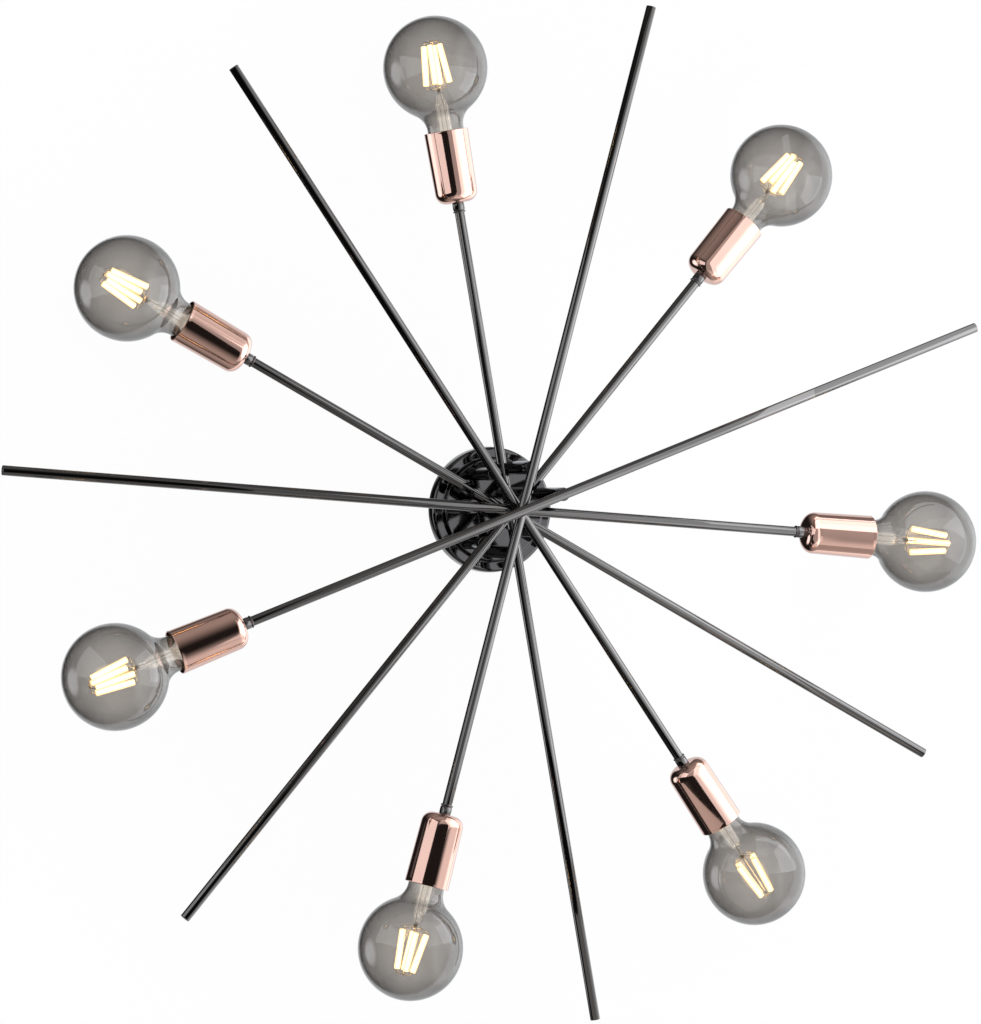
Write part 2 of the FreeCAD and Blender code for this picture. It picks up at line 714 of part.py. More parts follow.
# Canopy screw: domed head with a slot, outside the ring, and a shank into the tab.
def make_canopy_screw(number):
    x, y = (value_of(text) for text in screw_centres(SCREW_RADIUS)[number])
    turn = FreeCAD.Rotation(FreeCAD.Vector(0, 0, 1), SCREW_LINE_ANGLE)
    body = new_body("canopy_screw_%d" % (number + 1), FreeCAD.Placement(FreeCAD.Vector(x, y, 0), turn))
    head_top = "-(canopy_depth + screw_head_height)"
    end = "-(canopy_depth - canopy_sheet - bracket_sheet - screw_end)"
    dome = "(screw_head^2 / 8 + screw_head_height^2 / 2) / screw_head_height"
    revolve(body, "screw", (
        ("0", end),
        ("0", head_top),
        ("screw_head / 2", "-canopy_depth", dome, 1),
        ("screw_diameter / 2", "-canopy_depth"),
        ("screw_diameter / 2", end),
    ), "XZ_Plane", "V_Axis")
    slot = new_sketch(body, "slot_section", "YZ_Plane")
    draw_box(slot, "-slot_width / 2", "slot_width / 2", head_top + " - overrun", head_top + " + slot_depth")
    pocket(body, "slot", slot, "screw_head + 2 * overrun", both_ways=True)
    return body


# Terminal block on the bracket: three poles with grooves between, wire ports and screw wells.
def make_block():
    body = new_body("terminal_block", screw_line_placement())
    plan = new_sketch(body, "block_plan", "XY_Plane", "-bracket_sheet - block_height")
    draw_box(plan, "-block_length / 2", "block_length / 2", "-block_width / 2", "block_width / 2")
    pad(body, "block", plan, "block_height")
    grooves = new_sketch(body, "groove_section", "XZ_Plane")
    for sign in ("", "-"):
        draw_box(grooves, "%s(block_length / block_poles / 2 - block_groove / 2)" % sign,
                 "%s(block_length / block_poles / 2 + block_groove / 2)" % sign,
                 "-bracket_sheet - block_height - overrun", "-bracket_sheet - block_height + block_groove * 2")
    pocket(body, "grooves", grooves, "block_width + 2 * overrun", both_ways=True)
    ports = new_sketch(body, "port_section", "XZ_Plane")
    for pole in (-1, 0, 1):
        draw_circle(ports, "block_port / 2", ("%d * block_length / block_poles" % pole,
                                              "-bracket_sheet - block_height / 2"))
    pocket(body, "ports", ports, "block_width + 2 * overrun", both_ways=True)
    wells = new_sketch(body, "well_plan", "XY_Plane", "-bracket_sheet - block_height")
    for pole in (-1, 0, 1):
        for side in ("", "-"):
            draw_circle(wells, "block_port / 2", ("%d * block_length / block_poles" % pole,
                                                  "%sblock_width / 4" % side))
    pocket(body, "screw_wells", wells, "block_height / 2", reverse=True)
    return keep(body)


# Earth screw: pan head under the bracket, with its shank in the tapped hole.
def make_earth_screw():
    place = screw_line_placement()
    offset = place.Rotation.multVec(FreeCAD.Vector(value_of("earth_offset / 2"), value_of("-bracket_width / 4"), 0))
    body = new_body("earth_screw", FreeCAD.Placement(offset, place.Rotation))
    head = "-(bracket_sheet + screw_head_height)"
    revolve(body, "screw", (
        ("0", "-screw_clearance"),
        ("0", head),
        ("screw_head / 2", head),
        ("screw_head / 2", "-bracket_sheet"),
        ("screw_diameter / 2", "-bracket_sheet"),
        ("screw_diameter / 2", "-screw_clearance"),
    ), "XZ_Plane", "V_Axis")
    slot = new_sketch(body, "slot_section", "YZ_Plane")
    draw_box(slot, "-slot_width / 2", "slot_width / 2", head + " - overrun", head + " + slot_depth")
    pocket(body, "slot", slot, "screw_head + 2 * overrun", both_ways=True)
    return keep(body)


# The whole light: ceiling parts first, then each arm with its holder and bulb.
def make_light():
    make_canopy()
    make_bracket()
    make_block()
    make_earth_screw()
    keep_group("canopy_screws", [make_canopy_screw(number) for number in range(2)])
    arms = range(ARM_COUNT)
    for make_piece in (make_rod, make_cup, make_socket, make_globe, make_cap, make_filaments):
        for number in arms:
            make_piece(number)
    keep_group("rod_posts", [make_post(number) for number in arms])
    keep_group("post_pipes", [make_pipe(number) for number in arms])
    keep_group("post_nuts", [make_nut(number) for number in arms])
    keep_group("rod_end_plugs", [make_plug(number) for number in arms])
    keep_group("holder_collars", [make_collar(number) for number in arms])
    keep_group("socket_contacts", [make_contact(number) for number in arms])
    keep_group("rod_leads", [make_lead(number) for number in arms])


def check_and_write():
    """Stops on any failed object, then writes one STEP file for each node."""
    doc.recompute()
    for item in doc.Objects:
        if "Invalid" in item.State or "Error" in item.State:
            raise RuntimeError("%s failed: %s" % (item.Label, item.State))
    os.makedirs("parts", exist_ok=True)
    for item in nodes:
        shape = item.Shape
        if shape.isNull() or not shape.isValid() or not shape.Solids:
            raise RuntimeError("%s has no valid shape" % item.Label)
    for item in nodes:
        item.Shape.exportStep("parts/%s.step" % item.Label)
    print("%d nodes written" % len(nodes))


make_light()
check_and_write()
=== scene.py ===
import json
import math

import bmesh
import bpy
import numpy as np
from bpy.props import FloatProperty, FloatVectorProperty, PointerProperty
from mathutils import Matrix, Vector


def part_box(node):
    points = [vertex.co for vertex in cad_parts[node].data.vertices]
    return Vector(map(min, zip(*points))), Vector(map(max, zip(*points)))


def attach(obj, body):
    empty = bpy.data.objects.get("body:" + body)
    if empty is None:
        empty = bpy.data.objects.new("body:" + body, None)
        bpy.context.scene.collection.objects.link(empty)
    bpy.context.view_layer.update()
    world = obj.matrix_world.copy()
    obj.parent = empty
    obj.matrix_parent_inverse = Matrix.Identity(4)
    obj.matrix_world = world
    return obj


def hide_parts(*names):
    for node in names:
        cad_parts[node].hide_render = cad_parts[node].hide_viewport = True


bl_info = {
    "name": "Crossed Arm Ceiling Light",
    "version": (1, 0, 0),
    "blender": (4, 5, 0),
    "location": "View3D > Sidebar > Ceiling Light",
    "description": "Dresses the packed ceiling light and sets up its studio",
    "category": "Object",
}

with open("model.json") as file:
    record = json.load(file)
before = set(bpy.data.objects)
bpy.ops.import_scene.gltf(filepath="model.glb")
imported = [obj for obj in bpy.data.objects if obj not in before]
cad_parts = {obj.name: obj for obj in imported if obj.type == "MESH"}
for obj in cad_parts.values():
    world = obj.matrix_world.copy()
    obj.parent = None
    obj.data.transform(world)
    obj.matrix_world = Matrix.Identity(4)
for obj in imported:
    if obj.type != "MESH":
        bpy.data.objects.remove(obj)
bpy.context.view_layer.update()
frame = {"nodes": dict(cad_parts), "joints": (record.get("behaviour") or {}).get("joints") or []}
ROOT = "light"
ARM_COUNT = sum(name.startswith("rod_") and name[4:].isdigit() for name in frame["nodes"])
MM = 0.001
# Room between two pieces that fit together, and how far an outline stays inside the solid's own end, in metres.
FIT = 0.00005
INSET = 0.00001
# Turn at which each bulb comes tight in its socket, in degrees, top arm first.
BULB_TURNS = (17.0, 15.0, 11.5, 46.0, 19.0, 56.0, 33.0)
# Soft glows of the studio room, as polished things show it: degrees off the line to the viewer, degrees round it
# from the photograph's right, radius and softness in degrees, brightness and warmth.
GLOWS = (
    (153, -25, 57, 6, 0.76, -0.03),
    (99, -1, 51, 11, 0.89, 0.00),
    (86, -79, 41, 16, 0.37, 0.04),
    (83, 91, 42, 31, 0.33, 0.04),
    (100, 187, 17, 6, 1.64, -0.03),
)
# Soft boxes in the photograph's right, up and towards-the-viewer directions: place, aim, width, height, brightness
# and warmth.
SOFTBOXES = (
    ("softbox_right", (0.831, 0.214, 0.107), (0.542, 0.539, -0.470), 1.84, 1.03, 0.37, 0.00),
    ("softbox_top", (0.796, 0.219, -0.086), (0.770, 0.144, -0.256), 1.10, 0.43, 1.42, -0.03),
    ("softbox_left", (-1.053, 0.304, 1.144), (0.144, -0.260, 0.868), 1.88, 0.97, 1.03, -0.03),
    ("softbox_near", (0.319, 0.037, 0.338), (-0.024, 0.002, 0.349), 0.65, 0.73, 0.90, -0.03),
    ("softbox_low", (0.680, -0.989, 0.599), (1.066, -0.924, 0.168), 1.65, 1.19, 0.44, 0.04),
    ("softbox_side", (0.780, 0.000, 0.120), (0.430, 0.000, 0.070), 0.45, 0.60, 1.20, -0.06),
)
# Shift of the picture that gives the photograph's framing, as a share of its longer side.
FRAME_SHIFT = (2.2 / 1024.0, -2.5 / 1024.0)
# Polished plate: name, colour, roughness, smudges, their scale, darkest and lightest share of the colour, relief.
PLATED = (
    ("Zinc Plated Steel", (0.60, 0.61, 0.62), 0.32, 0.6, 60.0, 0.80, 1.10, 0.00012),
    ("Turned Brass", (0.80, 0.64, 0.34), 0.22, 0.5, 90.0, 0.85, 1.08, 0.00007),
    ("Rolled Screw Cap", (0.74, 0.70, 0.60), 0.20, 0.5, 90.0, 0.85, 1.08, 0.00007),
    ("Lead Wire", (0.90, 0.88, 0.84), 0.30, 0.3, 120.0),
    ("Copper Core", (0.86, 0.50, 0.36), 0.28, 0.4, 140.0),
)
# Moulded plastic or rubber: name, colour, roughness, scale of its grain, gloss coat.
MOULDED = (
    ("Black Phenolic", (0.018, 0.018, 0.019), 0.34, 120.0, 0.2),
    ("Black End Plug", (0.022, 0.021, 0.022), 0.42, 140.0, 0.0),
    ("White Terminal Plastic", (0.82, 0.82, 0.78), 0.42, 90.0, 0.0),
    ("Black Lead Sheath", (0.03, 0.03, 0.032), 0.55, 160.0, 0.0),
    ("Cap Insulator", (0.02, 0.02, 0.05), 0.18, 120.0, 0.5),
)


def length(name, default, text):
    return FloatProperty(name=name, default=default * MM, precision=5, unit="LENGTH", description=text)


def reach(name, default, text):
    """A length along an arm, measured from the crossing."""
    return length(name, default, "From the crossing to " + text)


def angle(name, default, text):
    return FloatProperty(name=name, default=math.radians(default), unit="ROTATION", description=text)


def colour(name, default, text):
    return FloatVectorProperty(name=name, default=default, size=3, min=0.0, max=1.0, subtype="COLOR",
                               description=text)


def amount(name, default, text):
    return FloatProperty(name=name, default=default, min=0.0, max=1.0, subtype="FACTOR", description=text)


class ArmSizes(bpy.types.PropertyGroup):
    """Sizes of the tubes, collars, holder cups and sockets."""
    free_reach: reach("Plain reach", 477.0, "the tube's plain end")
    tube_end: reach("Tube end", 281.0, "the tube's end inside the collar")
    tube_radius: length("Tube radius", 4.5, "Outside radius")
    tube_wall: length("Tube wall", 0.9, "Wall of the tube")
    plug_length: length("Plug length", 8.0, "Depth of the plug in the tube")
    collar_radius: length("Collar radius", 5.8, "Outside radius")
    collar_length: length("Collar length", 9.0, "Length of the collar outside the cup")
    cup_base: reach("Cup base", 284.0, "the cup's flat base")
    cup_mouth: reach("Cup mouth", 350.0, "the cup's open rim")
    cup_base_radius: length("Cup base radius", 19.25, "Outside radius at the shoulder")
    cup_mouth_radius: length("Cup mouth radius", 20.25, "Outside radius at the rim")
    cup_shoulder: length("Cup shoulder", 10.0, "Radius of the rounded shoulder")
    cup_wall: length("Cup wall", 0.8, "Wall of the drawn cup")
    socket_radius: length("Socket radius", 17.9, "Outside radius")
    socket_bore: length("Socket bore", 13.6, "Radius of the socket's well")
    socket_floor: reach("Socket floor", 314.2, "the floor of the well")
    socket_mouth: reach("Socket mouth", 342.0, "the socket's rim")
    thread_pitch: length("Lamp thread pitch", 3.62, "Rise of the lamp thread in one turn")


class BulbSizes(bpy.types.PropertyGroup):
    """Sizes of a globe bulb."""
    globe_centre: reach("Globe centre", 407.98, "the globe's centre")
    globe_radius: length("Globe radius", 47.5, "Outside radius")
    glass: length("Glass", 0.9, "Wall of the glass")
    neck_radius: length("Neck radius", 16.5, "Outside radius")
    neck_sweep: length("Neck sweep", 18.0, "Radius where neck meets globe")
    neck_round: length("Neck round", 4.0, "Radius where neck meets cap")
    cap_tip: reach("Cap tip", 317.5, "the cap's contact")
    cap_end: reach("Cap end", 342.5, "the joint of cap and glass")
    cap_radius: length("Cap radius", 13.1, "Outside radius of the thread")
    stem_radius: length("Stem radius", 6.0, "Outside radius")
    stem_tip: reach("Stem tip", 383.98, "the stem's tip")
    filament_radius: length("Filament radius", 2.9, "Radius of a coated filament")
    base_circle: length("Base circle", 11.4, "Radius of the cage at its foot")
    top_circle: length("Top circle", 6.9, "Radius of the cage at its top")
    filament_start: reach("Filament start", 389.98, "the cage's foot")
    filament_end: reach("Filament end", 431.98, "the cage's top")


class CanopySizes(bpy.types.PropertyGroup):
    """Sizes of the canopy, the posts and the wiring inside. Depths are below the ceiling."""
    radius: length("Canopy radius", 58.5, "Radius against the ceiling")
    depth: length("Flange depth", 12.0, "Depth of the outer ring")
    plateau: length("Plateau depth", 17.0, "Depth of the raised middle")
    step_radius: length("Step radius", 48.2, "Radius at the foot of the raised middle")
    plateau_radius: length("Plateau radius", 47.0, "Radius of the raised middle")
    sheet: length("Sheet", 1.2, "Thickness of the spun sheet")
    corner: length("Corner", 3.0, "Radius of the outer corner")
    post_circle: length("Post circle", 40.0, "From the axis to each post")
    post_radius: length("Post radius", 6.2, "Outside radius of the sleeve")
    saddle_depth: length("Saddle depth", 1.6, "How far a sleeve reaches round its tube")
    pipe_radius: length("Pipe radius", 3.0, "Outside radius")
    pipe_top: length("Pipe top", 10.4, "Depth of the pipe's upper end")
    lead_radius: length("Lead radius", 1.1, "Radius of a sheathed lead")
    lead_top: length("Lead height", 6.5, "Depth of the leads inside the canopy")
    core_radius: length("Core radius", 0.45, "Radius of a lead's bare core")
    pole_pitch: length("Pole pitch", 26.0 / 3.0, "Distance between the block's poles")
    block_side: length("Block half width", 8.5, "From the block's middle to its wire ports")
    port_depth: length("Port depth", 6.25, "Depth of the ports")
    block_turn: angle("Block turn", -74.0, "Turn of the bracket and its terminal block")


class Finishes(bpy.types.PropertyGroup):
    """Colours and gloss of the finishes that show most."""
    chrome_colour: colour("Black chrome", (0.162, 0.157, 0.156), "Plated colour of the tubes")
    chrome_polish: amount("Black chrome roughness", 0.06, "Roughness of the tubes")
    canopy_colour: colour("Canopy black", (0.095, 0.092, 0.094), "Plated colour of canopy and posts")
    canopy_polish: amount("Canopy roughness", 0.045, "Roughness of canopy and posts")
    copper_colour: colour("Rose copper", (0.87, 0.560, 0.475), "Plated colour of the cups")
    copper_polish: amount("Rose copper roughness", 0.06, "Roughness of the cups")
    glass_colour: colour("Smoked glass", (0.715, 0.690, 0.664), "Tint of the globes")
    glass_edge: colour("Smoked edge", (0.080, 0.080, 0.082), "Tint of the globes at their edge")
    filament_colour: colour("Filament light", (1.0, 0.76, 0.42), "Colour of the lit filaments")
    filament_light: FloatProperty(name="Filament strength", default=5.0, min=0.0,
                                  description="Brightness of the lit filaments")


class StudioSettings(bpy.types.PropertyGroup):
    """Camera, lights and backdrop."""
    azimuth: angle("Camera azimuth", -18.54, "Swing of the camera off the light's axis")
    elevation: angle("Camera elevation", 0.31, "Tilt of the camera off the light's axis")
    distance: length("Camera distance", 4074.0, "From the ceiling bracket to the camera")
    lens: FloatProperty(name="Lens", default=154.37, unit="CAMERA", description="Focal length")
    room: amount("Dark room", 0.0125, "Brightness of the room between its glows")
    panel_radius: length("Ceiling patch", 900.0, "Radius over which the patch fades out")


# Shapes. Every outline is an array of (along, out) points, and every shape a pair of points and faces, in metres.

def arc(along, out, radius, start, end, steps):
    """Points on a circle: centre plus radius times the cosine and sine of evenly spaced turns."""
    turn = np.radians(np.linspace(start, end, steps + 1))
    return np.column_stack((along + radius * np.cos(turn), out + radius * np.sin(turn)))


def run(start, end, steps):
    """Evenly spaced points on a straight line from start to end."""
    return np.linspace(start, end, steps + 1)


def join(*parts):
    """Points and rows of points as one outline."""
    return np.vstack(parts)


def turned(outline, around, wave=None, pitch=1.0, closed=True):
    """Surface of revolution about X: outline point (a, r) at turn t lies at (a, r cos t, r sin t).

    Where wave is given, r grows by wave times the cosine of (turns of a over pitch, less t),
    which is a helical thread of that pitch.
    """
    turn = np.linspace(0.0, 2.0 * np.pi, around, endpoint=False)
    along, out = np.repeat(outline.T[:, :, None], around, axis=2)
    if wave is not None:
        out = out + wave[:, None] * np.cos(2.0 * np.pi * along / pitch - turn)
    points = np.stack((along, out * np.cos(turn), out * np.sin(turn)), axis=-1)
    return points.reshape(-1, 3), grid_faces(len(outline), around, closed)


def thread_wave(parts, threaded, height, fade=8.0):
    """Wave for the outline that the parts make: the height on one part, fading out over that part's end rows."""
    waves = [np.zeros(len(part)) for part in parts]
    row = np.arange(len(parts[threaded]))
    waves[threaded] = height * np.clip(np.minimum(row, row[::-1]) / fade, 0.0, 1.0)
    return np.concatenate(waves)


def grid_faces(rows, columns, closed):
    """Four-cornered faces of a grid of points that wraps round in its columns, and in its rows if closed."""
    low, left = np.meshgrid(np.arange(rows if closed else rows - 1), np.arange(columns), indexing="ij")
    high, right = (low + 1) % rows, (left + 1) % columns
    corners = (low * columns + left, low * columns + right, high * columns + right, high * columns + left)
    return np.stack(corners, axis=-1).reshape(-1, 4)


def spline(points, steps):
    """Quadratic B-spline: each control point bends the path between the middles of its two runs."""
    points = np.array(points, float)
    knots = np.vstack((points[:1], (points[1:-2] + points[2:-1]) / 2.0, points[-1:]))
    share = np.linspace(0.0, 1.0, steps, endpoint=False)[:, None]
    bends = [(1 - share) ** 2 * a + 2 * share * (1 - share) * b + share ** 2 * c
             for a, b, c in zip(knots[:-1], points[1:-1], knots[1:])]
    return np.vstack(bends + [points[-1:]])


def swept(path, radius, around):
    """Closed tube: a circle carried along a path, square to it; its radius may change along the way."""
    heading = np.gradient(path, axis=0)
    heading /= np.linalg.norm(heading, axis=1)[:, None]
    spare = np.eye(3)[np.argmin(np.abs(heading).max(axis=0))]
    side = np.cross(heading, spare)
    side /= np.linalg.norm(side, axis=1)[:, None]
    rise = np.cross(heading, side)
    turn = np.linspace(0.0, 2.0 * np.pi, around, endpoint=False)
    ring = np.cos(turn)[None, :, None] * side[:, None] + np.sin(turn)[None, :, None] * rise[:, None]
    body = path[:, None] + np.broadcast_to(radius, len(path))[:, None, None] * ring
    tips = np.repeat(path[[0, -1]][:, None], around, axis=1)
    points = np.vstack((tips[:1], body, tips[1:])).reshape(-1, 3)
    return points, grid_faces(len(path) + 2, around, False)


def merged(*shapes):
    """Several shapes as one."""
    offsets = np.cumsum([0] + [len(points) for points, _ in shapes[:-1]])
    points = np.vstack([points for points, _ in shapes])
    return points, np.vstack([faces + offset for (_, faces), offset in zip(shapes, offsets)])


def placed(shape, matrix):
    """The shape with each point carried by the matrix."""
    points, faces = shape
    matrix = np.array(matrix)
    return points @ matrix[:3, :3].T + matrix[:3, 3], faces


def build(name, shape, finishes, body=ROOT, replaces=(), paint=None, sharp=35.0):
    """One finished piece: its mesh in place, faces outward, riding on a body of the frame."""
    points, faces = shape
    mesh = bpy.data.meshes.new(name)
    mesh.from_pydata(points.tolist(), [], faces.tolist())
    for finish in finishes:
        mesh.materials.append(bpy.data.materials[finish])
    if paint is not None:
        mesh.polygons.foreach_set("material_index", np.asarray(paint, dtype=np.int32))
    welded = bmesh.new()
    welded.from_mesh(mesh)
    bmesh.ops.remove_doubles(welded, verts=welded.verts, dist=1e-7)
    bmesh.ops.dissolve_degenerate(welded, edges=welded.edges, dist=1e-8)
    bmesh.ops.recalc_face_normals(welded, faces=welded.faces)
    welded.to_mesh(mesh)
    welded.free()
    mesh.polygons.foreach_set("use_smooth", [True] * len(mesh.polygons))
    mesh.set_sharp_from_angle(angle=math.radians(sharp))
    piece = bpy.data.objects.new(name, mesh)
    bpy.context.scene.collection.objects.link(piece)
    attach(piece, body)
    if replaces:
        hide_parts(*replaces)


# Turns a shape drawn along X so that it hangs from the ceiling.
DOWN = Matrix(((0, 0, 1, 0), (0, 1, 0, 0), (-1, 0, 0, 0), (0, 0, 0, 1)))


def arm_matrix(number):
    """Where an arm lies: its heading is its bulb's joint axis, its height that of its tube."""
    heading = Vector(frame["joints"][number]["axis"]).normalized()
    low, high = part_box("rod_%d" % (number + 1))
    up = Vector((0.0, 0.0, 1.0))
    turn = Matrix((heading, up.cross(heading), up)).transposed().to_4x4()
    return Matrix.Translation((0.0, 0.0, (low.z + high.z) / 2.0)) @ turn


def arms():
    """The number that each arm's pieces carry, and its matrix, top arm first."""
    return [(number + 1, arm_matrix(number)) for number in range(ARM_COUNT)]


def on_all_arms(shape):
    """The shape placed on every arm, as one shape."""
    return merged(*[placed(shape, place) for _, place in arms()])


def post_matrix(sizes, place):
    """Stands a shape drawn along X head down under the ceiling, at the post of the arm placed there."""
    foot = place @ Vector((-sizes.post_circle, 0.0, 0.0))
    return Matrix.Translation((foot.x, foot.y, 0.0)) @ place.to_3x3().to_4x4() @ DOWN


# Finishes.

class Tree:
    """A node tree, with short calls that add nodes and fill their inputs."""

    def __init__(self, tree):
        self.nodes, self.links = tree.nodes, tree.links

    def fill(self, node, inputs):
        """Sets each input to its number or colour, or links it to the output that is given for it."""
        for key, value in inputs.items():
            if isinstance(value, bpy.types.NodeSocket):
                self.links.new(value, node.inputs[key])
            else:
                node.inputs[key].default_value = value

    def add(self, kind, output=0, inputs=None, **settings):
        """Adds a node and gives back one of its outputs."""
        node = self.nodes.new("ShaderNode" + kind)
        for key, value in settings.items():
            setattr(node, key, value)
        self.fill(node, inputs or {})
        return node.outputs[output]

    def maths(self, operation, first, second=0.0):
        return self.add("Math", 0, {0: first, 1: second}, operation=operation)

    def noise(self, scale, detail, rough=0.5):
        place = self.add("TexCoord", "Object")
        return self.add("TexNoise", "Fac", {"Vector": place, "Scale": scale, "Detail": detail, "Roughness": rough})

    def blend(self, factor, first, second):
        """Mix of two colours, each of them three numbers or another node's output."""
        ends = [end if isinstance(end, bpy.types.NodeSocket) else (*end, 1.0) for end in (first, second)]
        return self.add("Mix", 2, {0: factor, 6: ends[0], 7: ends[1]}, data_type="RGBA")

    def bump(self, height, strength, distance):
        return self.add("Bump", 0, {"Strength": strength, "Distance": distance, "Height": height})

    def polish(self, roughness, smudge, scale):
        """Outputs of the polish that all plate and plastic share."""
        inputs = {"Roughness": roughness, "Smudge": smudge, "Scale": scale}
        return self.add("Group", 0, inputs, node_tree=bpy.data.node_groups["Handled Polish"]).node.outputs


def polish_group():
    """Handled polish: broad smudges and fine wipe marks, as a roughness, a surface height and a tone."""
    group = bpy.data.node_groups.new("Handled Polish", "ShaderNodeTree")
    for side, names in (("INPUT", ("Roughness", "Smudge", "Scale")), ("OUTPUT", ("Roughness", "Height", "Tone"))):
        for name in names:
            group.interface.new_socket(name, in_out=side, socket_type="NodeSocketFloat")
    tree = Tree(group)
    start = group.nodes.new("NodeGroupInput").outputs
    end = group.nodes.new("NodeGroupOutput")
    broad = tree.noise(start["Scale"], 4.0, 0.6)
    fine = tree.noise(tree.maths("MULTIPLY", start["Scale"], 22.0), 2.0)
    patch = tree.add("MapRange", 0, {"Value": broad, "From Min": 0.42, "From Max": 0.72})
    share = tree.maths("MULTIPLY", patch, start["Smudge"])
    gain = tree.maths("ADD", 1.0, tree.maths("ADD", share, tree.maths("MULTIPLY", fine, share)))
    tree.fill(end, {"Roughness": tree.maths("MULTIPLY", start["Roughness"], gain),
                    "Height": tree.maths("ADD", fine, tree.maths("MULTIPLY", broad, 3.0)),
                    "Tone": broad})


def new_material(name):
    """A new material's node tree and its shader."""
    material = bpy.data.materials.new(name)
    material.use_nodes = True
    return Tree(material.node_tree), material.node_tree.nodes["Principled BSDF"]


def shaded(base, share):
    return tuple(min(1.0, channel * share) for channel in base)


def light_colour(brightness, warmth):
    """White made redder and less blue by the warmth, or the other way round where it is negative."""
    return brightness * (1.0 + warmth), brightness, brightness * (1.0 - warmth)


def plated(name, base, roughness, smudge, scale, darkest=0.92, lightest=1.06, relief=0.00001):
    """Polished plate: even colour with slight clouding, smudged roughness and faint orange peel."""
    tree, shader = new_material(name)
    polish = tree.polish(roughness, smudge, scale)
    tree.fill(shader, {
        "Base Color": tree.blend(polish["Tone"], shaded(base, darkest), shaded(base, lightest)),
        "Metallic": 1.0,
        "Roughness": polish["Roughness"],
        "Normal": tree.bump(polish["Height"], 0.05, relief)})


def moulded(name, base, roughness, grain, coat):
    """Moulded plastic or rubber: clouded colour, fine grain in height and roughness."""
    tree, shader = new_material(name)
    polish = tree.polish(roughness, 0.4, grain)
    tree.fill(shader, {
        "Base Color": tree.blend(polish["Tone"], shaded(base, 0.85), shaded(base, 1.15)),
        "Roughness": polish["Roughness"],
        "Coat Weight": coat,
        "Normal": tree.bump(polish["Height"], 0.3, 0.00004)})


def glass(name, tint, edge, roughness, ior, mirror, painted_glow_colour, glow, gather):
    """Blown glass: tinted deeper towards the edge of the form, with a painted glow in it that stands in for the
    filaments' light.

    That painted glow is even where gather is 0, and keeps more to the middle of the form as gather grows.
    """
    tree, shader = new_material(name)
    facing = tree.add("LayerWeight", "Facing", {"Blend": 0.5})
    cloud = tree.noise(30.0, 2.0)
    if gather:
        middle = tree.maths("POWER", tree.maths("SUBTRACT", 1.0, facing), gather)
        glow = tree.maths("MULTIPLY", middle, glow)
    deep = tree.maths("ADD", facing, tree.maths("MULTIPLY", cloud, 0.08))
    tree.fill(shader, {
        "Base Color": tree.blend(deep, tint, edge),
        "Transmission Weight": 1.0,
        "Roughness": roughness,
        "IOR": ior,
        "Specular IOR Level": mirror,
        # Painted glow: emission in the glass that stands in for the filaments' light shining in it.
        "Emission Color": (*painted_glow_colour, 1.0),
        "Emission Strength": glow,
        "Normal": tree.bump(cloud, 0.05, 0.0004)})


def glowing(name, core, rim, strength):
    """Coated filament: brightest where the coat faces the viewer, dimmer and deeper at its edge, faintly beaded."""
    tree, shader = new_material(name)
    beads = tree.noise(900.0, 1.0)
    facing = tree.add("LayerWeight", "Facing", {"Blend": 0.5})
    mask = tree.maths("ADD", facing, tree.maths("MULTIPLY", beads, 0.2))
    tree.fill(shader, {
        "Emission Color": tree.blend(mask, core, rim),
        "Emission Strength": tree.maths("ADD", tree.maths("MULTIPLY", mask, -0.8 * strength), strength),
        "Base Color": (*core, 1.0),
        "Roughness": 0.6,
        "Normal": tree.bump(beads, 0.4, 0.0001)})


def dress(node, finish):
    """Gives a kept CAD node its finish."""
    slots = frame["nodes"][node].data.materials
    slots.clear()
    slots.append(bpy.data.materials[finish])


class LIGHT_OT_finishes(bpy.types.Operator):
    """Makes every finish that the pieces share"""
    bl_idname = "light.finishes"
    bl_label = "Finishes"

    def execute(self, context):
        look = context.scene.light_finishes
        polish_group()
        plated("Black Chrome Tube", look.chrome_colour, look.chrome_polish, smudge=0.5, scale=30.0)
        plated("Mirror Black Plate", look.canopy_colour, look.canopy_polish, smudge=0.6, scale=26.0)
        plated("Rose Copper Plate", look.copper_colour, look.copper_polish, smudge=0.5, scale=34.0)
        for finish in PLATED:
            plated(*finish)
        for finish in MOULDED:
            moulded(*finish)
        # Both glasses carry a faint painted glow as emission, which stands in for the filaments' light in them; it
        # is stronger on the stem.
        glass("Smoked Glass", look.glass_colour, look.glass_edge, roughness=0.0, ior=1.57, mirror=1.0,
              painted_glow_colour=(1.0, 0.72, 0.46), glow=0.016, gather=3.0)
        glass("Clear Stem Glass", (0.97, 0.97, 0.96), (0.90, 0.90, 0.89), roughness=0.02, ior=1.46, mirror=0.5,
              painted_glow_colour=(1.0, 0.94, 0.86), glow=0.12, gather=0.0)
        glowing("Lit Filament", look.filament_colour, rim=(1.0, 0.60, 0.25), strength=look.filament_light)
        return {"FINISHED"}


